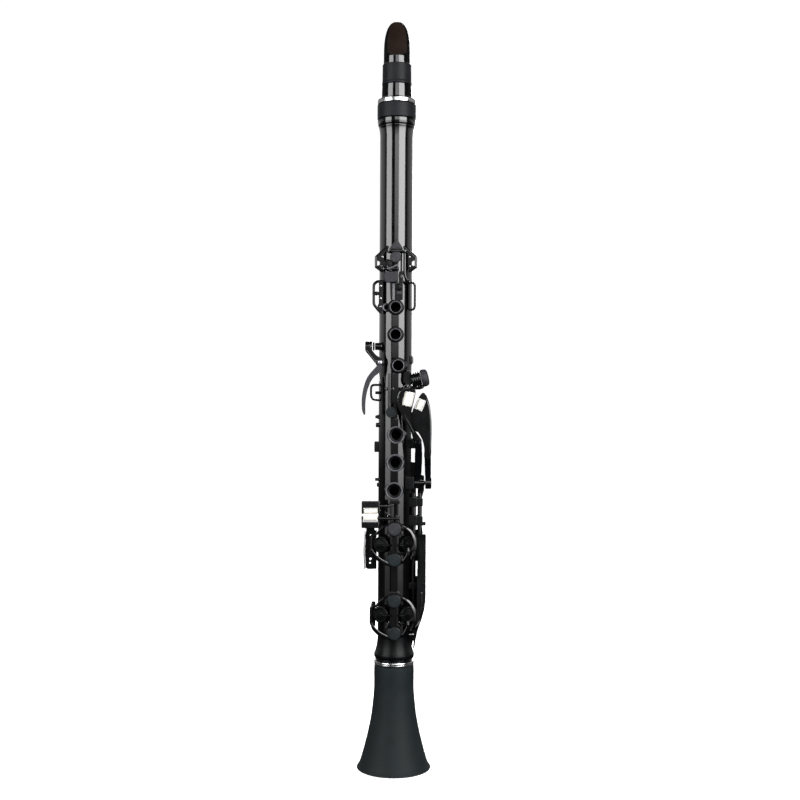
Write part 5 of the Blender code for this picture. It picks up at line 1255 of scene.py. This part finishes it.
# ---------------------------------------------------------------- low keys
def low_cup(shape, side, z, hinge, low, high):
    """A low key's hinge tube and its pad cup on a curved arm, drawn closed."""
    x, y = hinge
    profile = [(1.15, 0), (1.85, 0)]
    for h in (1.2, high - low - 2.0):
        profile += [(1.85, h), (1.55, h + 0.15), (1.55, h + 0.6), (1.85, h + 0.75)]
    profile += [(1.85, high - low), (1.15, high - low)]
    rings = [[(x + r * math.cos(a), y + r * math.sin(a), low + h) for a in turns(36)] for r,
             h in soften(profile, 0.08, 2)]
    shape.grid(rings, GLOSS_FINE, closed_run=True)
    way = pad_way(side)
    shape.lathe([(0, 0), (6.3, 0), (6.65, 0.3), (6.6, 1.0), (6.1, 1.45), (5.3, 1.6), (4.9, 1.35),
                 (2.4, 1.5), (2.1, 1.95), (0, 2.05)], way * 15.9 + Vector((0, 0, z)), way, SHADE, 64, 0.15)
    centre = way * 17.7 + Vector((0, 0, z))
    arm = through([(x, y - 0.9, z), (x + side * 1.7, y - 2.5, z), (side * 6.0, y - 2.3, z),
                   tuple(centre)], 5)
    shape.tube(arm, [1.6, 1.3, 1.2, 1.2], SHADE, 16, flat=0.75, up=(0, 0, 1))


def low_pad(name, key, node, side, z, turn):
    way = pad_way(side)
    pad_look(name, key, node, way * 14.5 + Vector((0, 0, z)), way, 5.8, 1.1, turn)


def little_touch(shape, roller_z, far_z, y, arm_z, arm_y, reach):
    """A right little-finger touch: a ribbed plate, two cheeks for its roller and a flat arm."""
    way = 1 if far_z > roller_z else -1
    near = roller_z + way * 2.5
    limits = sorted((near, far_z))
    shape.block((-25.6, -11.8), (y - 2.1, y + 2.2), limits, GLOSS_FINE, 0.9)
    shape.block((-25.0, -12.4), (y - 2.75, y - 1.6), (limits[0] + 0.5, limits[1] - 0.5), SHADE, 0.5)
    ends = (limits[0] + 0.6, limits[1] - 0.6)
    shape.tube([(-25.2, y - 2.3, ends[0]), (-25.2, y - 2.3, ends[1])], 0.5, GLOSS, 12, flat=0.4,
               up=LEFT_FACE)
    # The top edge, painted light grey as a highlight.
    shape.tube([(-24.8, y - 2.4, limits[1] - 0.3), (-12.6, y - 2.4, limits[1] - 0.3)], 0.45, PAINTED_HIGHLIGHT, 12,
               flat=0.5)
    count = int((limits[1] - limits[0] - 1.4) / 0.95)
    for k in range(count + 1):
        z = limits[0] + 0.9 + k * (limits[1] - limits[0] - 1.8) / max(count, 1)
        shape.rod((-24.4, y - 2.72, z), (-13.0, y - 2.72, z), 0.26, FRAME, 10, 0.05)
    cheek = sorted((roller_z - way * 2.1, near + way * 1.0))
    for low, high in ((-25.6, -24.3), (-13.1, -11.8)):
        shape.block((low, high), (y - 1.9, y + 1.8), cheek, GLOSS_FINE, 0.5)
        shape.rod((low + 0.1 if low < -20 else high - 0.1, y, roller_z),
                  (low - 0.15 if low < -20 else high + 0.15, y, roller_z), 0.7, STEEL, 18,
                  0.1)
    middle = (arm_z[0] + arm_z[1]) / 2
    depth = (arm_y[0] + arm_y[1]) / 2
    shape.tube([(-12.6, depth, middle), (reach, depth, middle)], (arm_z[1] - arm_z[0]) / 2,
               GLOSS_FINE, 18, flat=0.75, up=(0, -1, 0))


def make_right_little_keys():
    turn = about_z(LEFT_PAD_HINGE, OPEN_ANGLE)
    shape = Shape()
    low_cup(shape, -1, UPPER_PADS_Z, LEFT_PAD_HINGE, UPPER_PADS_Z - 9.0, 207.9)
    little_touch(shape, 202.6, 210.6, -14.6, (205.4, 207.6), (-16.6, -14.8), LEFT_PAD_HINGE[0])
    spring(shape, [(-2.8, -14.4, 201.0), (-5.4, -13.8, 198.4), (-8.2, -12.4, 195.0)])
    shape.turn(turn)
    shape.finish("low_f_lever", "low_f_key", ["low_f_key"])
    low_pad("low_f_pad_disc", "low_f_key", "low_f_pad", -1, UPPER_PADS_Z, turn)
    drum_ends = [turn @ Vector((x, -14.6, 202.6)) for x in (-24.0, -13.4)]
    roller_look("low_f_roller_drum", "low_f_roller", *drum_ends, 2.15)

    shape = Shape()
    low_cup(shape, 1, UPPER_PADS_Z, RIGHT_PAD_HINGE, UPPER_PADS_Z - 9.0, 199.2)
    little_touch(shape, 197.1, 189.6, -17.2, (196.0, 198.2), (-19.5, -18.0), 3.2)
    shape.block((0.8, 3.4), (-19.3, -14.6), (196.0, 198.2), GLOSS_FINE, 0.5)
    spring(shape, [(3.2, -14.6, 188.0), (5.6, -13.6, 185.4), (7.8, -11.8, 182.8)])
    shape.finish("a_flat_lever", "a_flat_key", ["a_flat_key"])
    low_pad("a_flat_pad_disc", "a_flat_key", "a_flat_pad", 1, UPPER_PADS_Z, None)
    roller_look("a_flat_roller_drum", "a_flat_roller", (-24.0, -17.2, 197.1), (-13.4, -17.2, 197.1), 2.15)


def make_bottom_keys():
    for side, hinge, name in ((-1, LEFT_PAD_HINGE, "low_e"), (1, RIGHT_PAD_HINGE, "low_f_sharp")):
        turn = about_z(hinge, -side * OPEN_ANGLE)
        shape = Shape()
        low_cup(shape, side, LOWER_PADS_Z, hinge, LOWER_PADS_Z - 12.0, LOWER_PADS_Z + 14.3)
        x = hinge[0] + side * 0.8
        spring(shape, [(x, -14.4, LOWER_PADS_Z - 4.0), (x + side * 2.0, -13.7, LOWER_PADS_Z - 7.0),
                       (x + side * 4.0, -12.6, LOWER_PADS_Z - 10.0)])
        shape.turn(turn)
        shape.finish(name + "_lever", name + "_key", [name + "_key"])
        low_pad(name + "_pad_disc", name + "_key", name + "_pad", side, LOWER_PADS_Z, turn)


def make_side_web():
    """The wall behind the two link rods, open only in narrow slots."""
    shape = Shape()
    outline = [(11.6, 95.8), (14.2, 95.8), (15.2, 103.0), (17.0, 110.6), (19.8, 118.6),
               (21.6, 126.0), (22.2, 132.0), (22.2, 184.0), (21.4, 190.0), (21.4, 212.0),
               (23.0, 218.0), (23.0, 229.6), (16.6, 230.6), (16.2, 239.6), (11.6, 240.4)]
    shape.plate(soften(outline, 1.0), (-1.7, 0.3), FRAME, 0.4)
    shape.block((11.6, 16.4), (-5.0, -1.0), (250.6, 259.2), FRAME, 0.8)
    web = shape.finish("web")
    cutters = Shape()
    for x0, x1, low, high in ((16.7, 17.9, 198.6, 206.4), (16.7, 17.9, 187.0, 190.1),
                              (16.8, 17.9, 150.5, 162.2), (16.7, 17.9, 213.2, 219.2),
                              (13.1, 14.0, 187.8, 200.9), (13.1, 13.9, 156.6, 160.0)):
        cutters.block((x0, x1), (-4.0, 3.0), (low, high), GLOSS_FINE, 0.2)
    carve(web, cutters)


# ---------------------------------------------------------------- stage
CAMERA_PLACE = (0.0037, -0.926, 0.2885)
CAMERA_ROLL = -0.286
CAMERA_LENS = 53.0

# How bright a card is from its foot (0) to its top (1).
SIDE_STOPS = ((0.0, 0.02), (0.14, 0.05), (0.24, 0.20), (0.32, 0.42), (0.49, 0.82), (0.6, 1.0))
FRONT_STOPS = ((0.0, 0.02), (0.3, 0.03), (0.4, 0.08), (0.49, 0.26), (0.6, 0.45), (0.75, 1.0))

# Name, degrees round the object from the camera, width in metres, radiance and stops.
CARDS = (
    ("right_card", 39.5, 1.08, 13.0, SIDE_STOPS),
    ("left_card", -51, 0.90, 8.8, SIDE_STOPS),
    ("back_card", 172, 0.40, 9.0, SIDE_STOPS),
    ("front_card", 2.5, 0.58, 4.2, FRONT_STOPS),
)


def product(owner, first, second):
    step = add(owner, "Math")
    step.operation = "MULTIPLY"
    owner.node_tree.links.new(first, step.inputs[0])
    owner.node_tree.links.new(second, step.inputs[1])
    return step.outputs["Value"]


def stage_piece(name, corners, mat):
    """One flat sheet of the studio."""
    mesh = bpy.data.meshes.new(name)
    mesh.from_pydata(corners, [], [(0, 1, 2, 3)])
    mesh.materials.append(mat)
    obj = bpy.data.objects.new(name, mesh)
    bpy.context.scene.collection.objects.link(obj)
    return obj


def card(name, degrees, width, radiance, stops):
    """A tall soft light round the object, dimmer towards its foot."""
    foot, top, distance = -0.25, 1.15, 1.3
    centre = Vector(polar(degrees, distance, 0))
    across = Vector((math.cos(math.radians(degrees)), math.sin(math.radians(degrees)), 0))
    mat, shader, link = new_material(name + "_light", Base_Color=(0, 0, 0, 1), Specular_IOR_Level=0.0,
                                     Emission_Strength=radiance)
    split = add(mat, "SeparateXYZ")
    link(add(mat, "TexCoord").outputs["Object"], split.inputs["Vector"])
    ramp = add(mat, "ValToRGB")
    while len(ramp.color_ramp.elements) < len(stops):
        ramp.color_ramp.elements.new(0.5)
    for element, (position, level) in zip(ramp.color_ramp.elements, stops):
        element.position = position
        element.color = (level, level, level, 1)
    link(fade(mat, split.outputs["Z"], foot, top, 0.0, 1.0), ramp.inputs["Fac"])
    link(ramp.outputs["Color"], shader.inputs["Emission Color"])
    obj = stage_piece(name, [centre + across * s * width / 2 + Vector((0, 0, z))
                             for s, z in ((-1, foot), (1, foot), (1, top), (-1, top))], mat)
    obj.visible_camera = False
    obj.visible_shadow = False


def polar(degrees, distance, z):
    """A place round the object: 0 is the camera's side, positive to its right."""
    a = math.radians(degrees)
    return (distance * math.sin(a), -distance * math.cos(a), z)


def make_stage():
    white = (0.9, 0.9, 0.9, 1)
    mat = new_material("floor_white", Base_Color=white, Roughness=0.9, Emission_Color=white,
                       Emission_Strength=1.1)[0]
    floor = stage_piece("floor", [(x, y, -0.0006) for x, y in ((-6, -6), (6, -6), (6, 6), (-6, 6))], mat)
    floor.visible_glossy = False
    floor.visible_diffuse = False

    for name, degrees, width, radiance, stops in CARDS:
        card(name, degrees, width, radiance, stops)

    world = bpy.data.worlds.new("studio")
    bpy.context.scene.world = world
    world.use_nodes = True
    link = world.node_tree.links.new
    back = world.node_tree.nodes["Background"]
    set_inputs(back, Color=(1, 1, 1, 1))
    split = add(world, "SeparateXYZ")
    link(add(world, "TexCoord").outputs["Generated"], split.inputs["Vector"])
    behind = fade(world, split.outputs["Y"], -0.25, 0.1, 0.02, 1.0)
    above = fade(world, split.outputs["Z"], 0.215, 0.25, 1.0, 0.06)
    below = fade(world, split.outputs["Z"], -0.06, 0.06, 0.03, 1.0)
    mix = world.node_tree.nodes.new("ShaderNodeMix")
    mix.data_type = "FLOAT"
    link(add(world, "LightPath").outputs["Is Camera Ray"], mix.inputs["Factor"])
    link(product(world, product(world, behind, above), below), mix.inputs["A"])
    mix.inputs["B"].default_value = 1.05
    link(mix.outputs["Result"], back.inputs["Strength"])

    data = bpy.data.cameras.new("camera")
    data.sensor_width = 36.0
    data.lens = CAMERA_LENS
    data.clip_start = 0.01
    camera = bpy.data.objects.new("camera", data)
    camera.location = CAMERA_PLACE
    camera.rotation_euler = (math.radians(90), math.radians(CAMERA_ROLL), 0)
    bpy.context.scene.collection.objects.link(camera)
    bpy.context.scene.camera = camera
    bpy.context.scene.view_settings.view_transform = "Standard"


make_bell()
make_barrel()
make_mouthpiece()
make_reed()
make_ligature()
make_tube()
make_finger_wells()
make_posts()
make_nubs()
make_thumb_rest()
make_seal("body_sealing_ring", "body", "body_tenon_seal", 75.2, 10.5, 11.5)
make_throat_brackets()
make_side_guards()
make_guards()
make_rod_fairing()
make_rods()

make_side_web()
make_a_key()
make_g_sharp_key()
make_register_key()
make_side_trill_key()
make_c_sharp_touch()
make_c_sharp_pad_key()
make_left_levers()
make_link_rods()
make_right_little_keys()
make_bottom_keys()
make_stage()
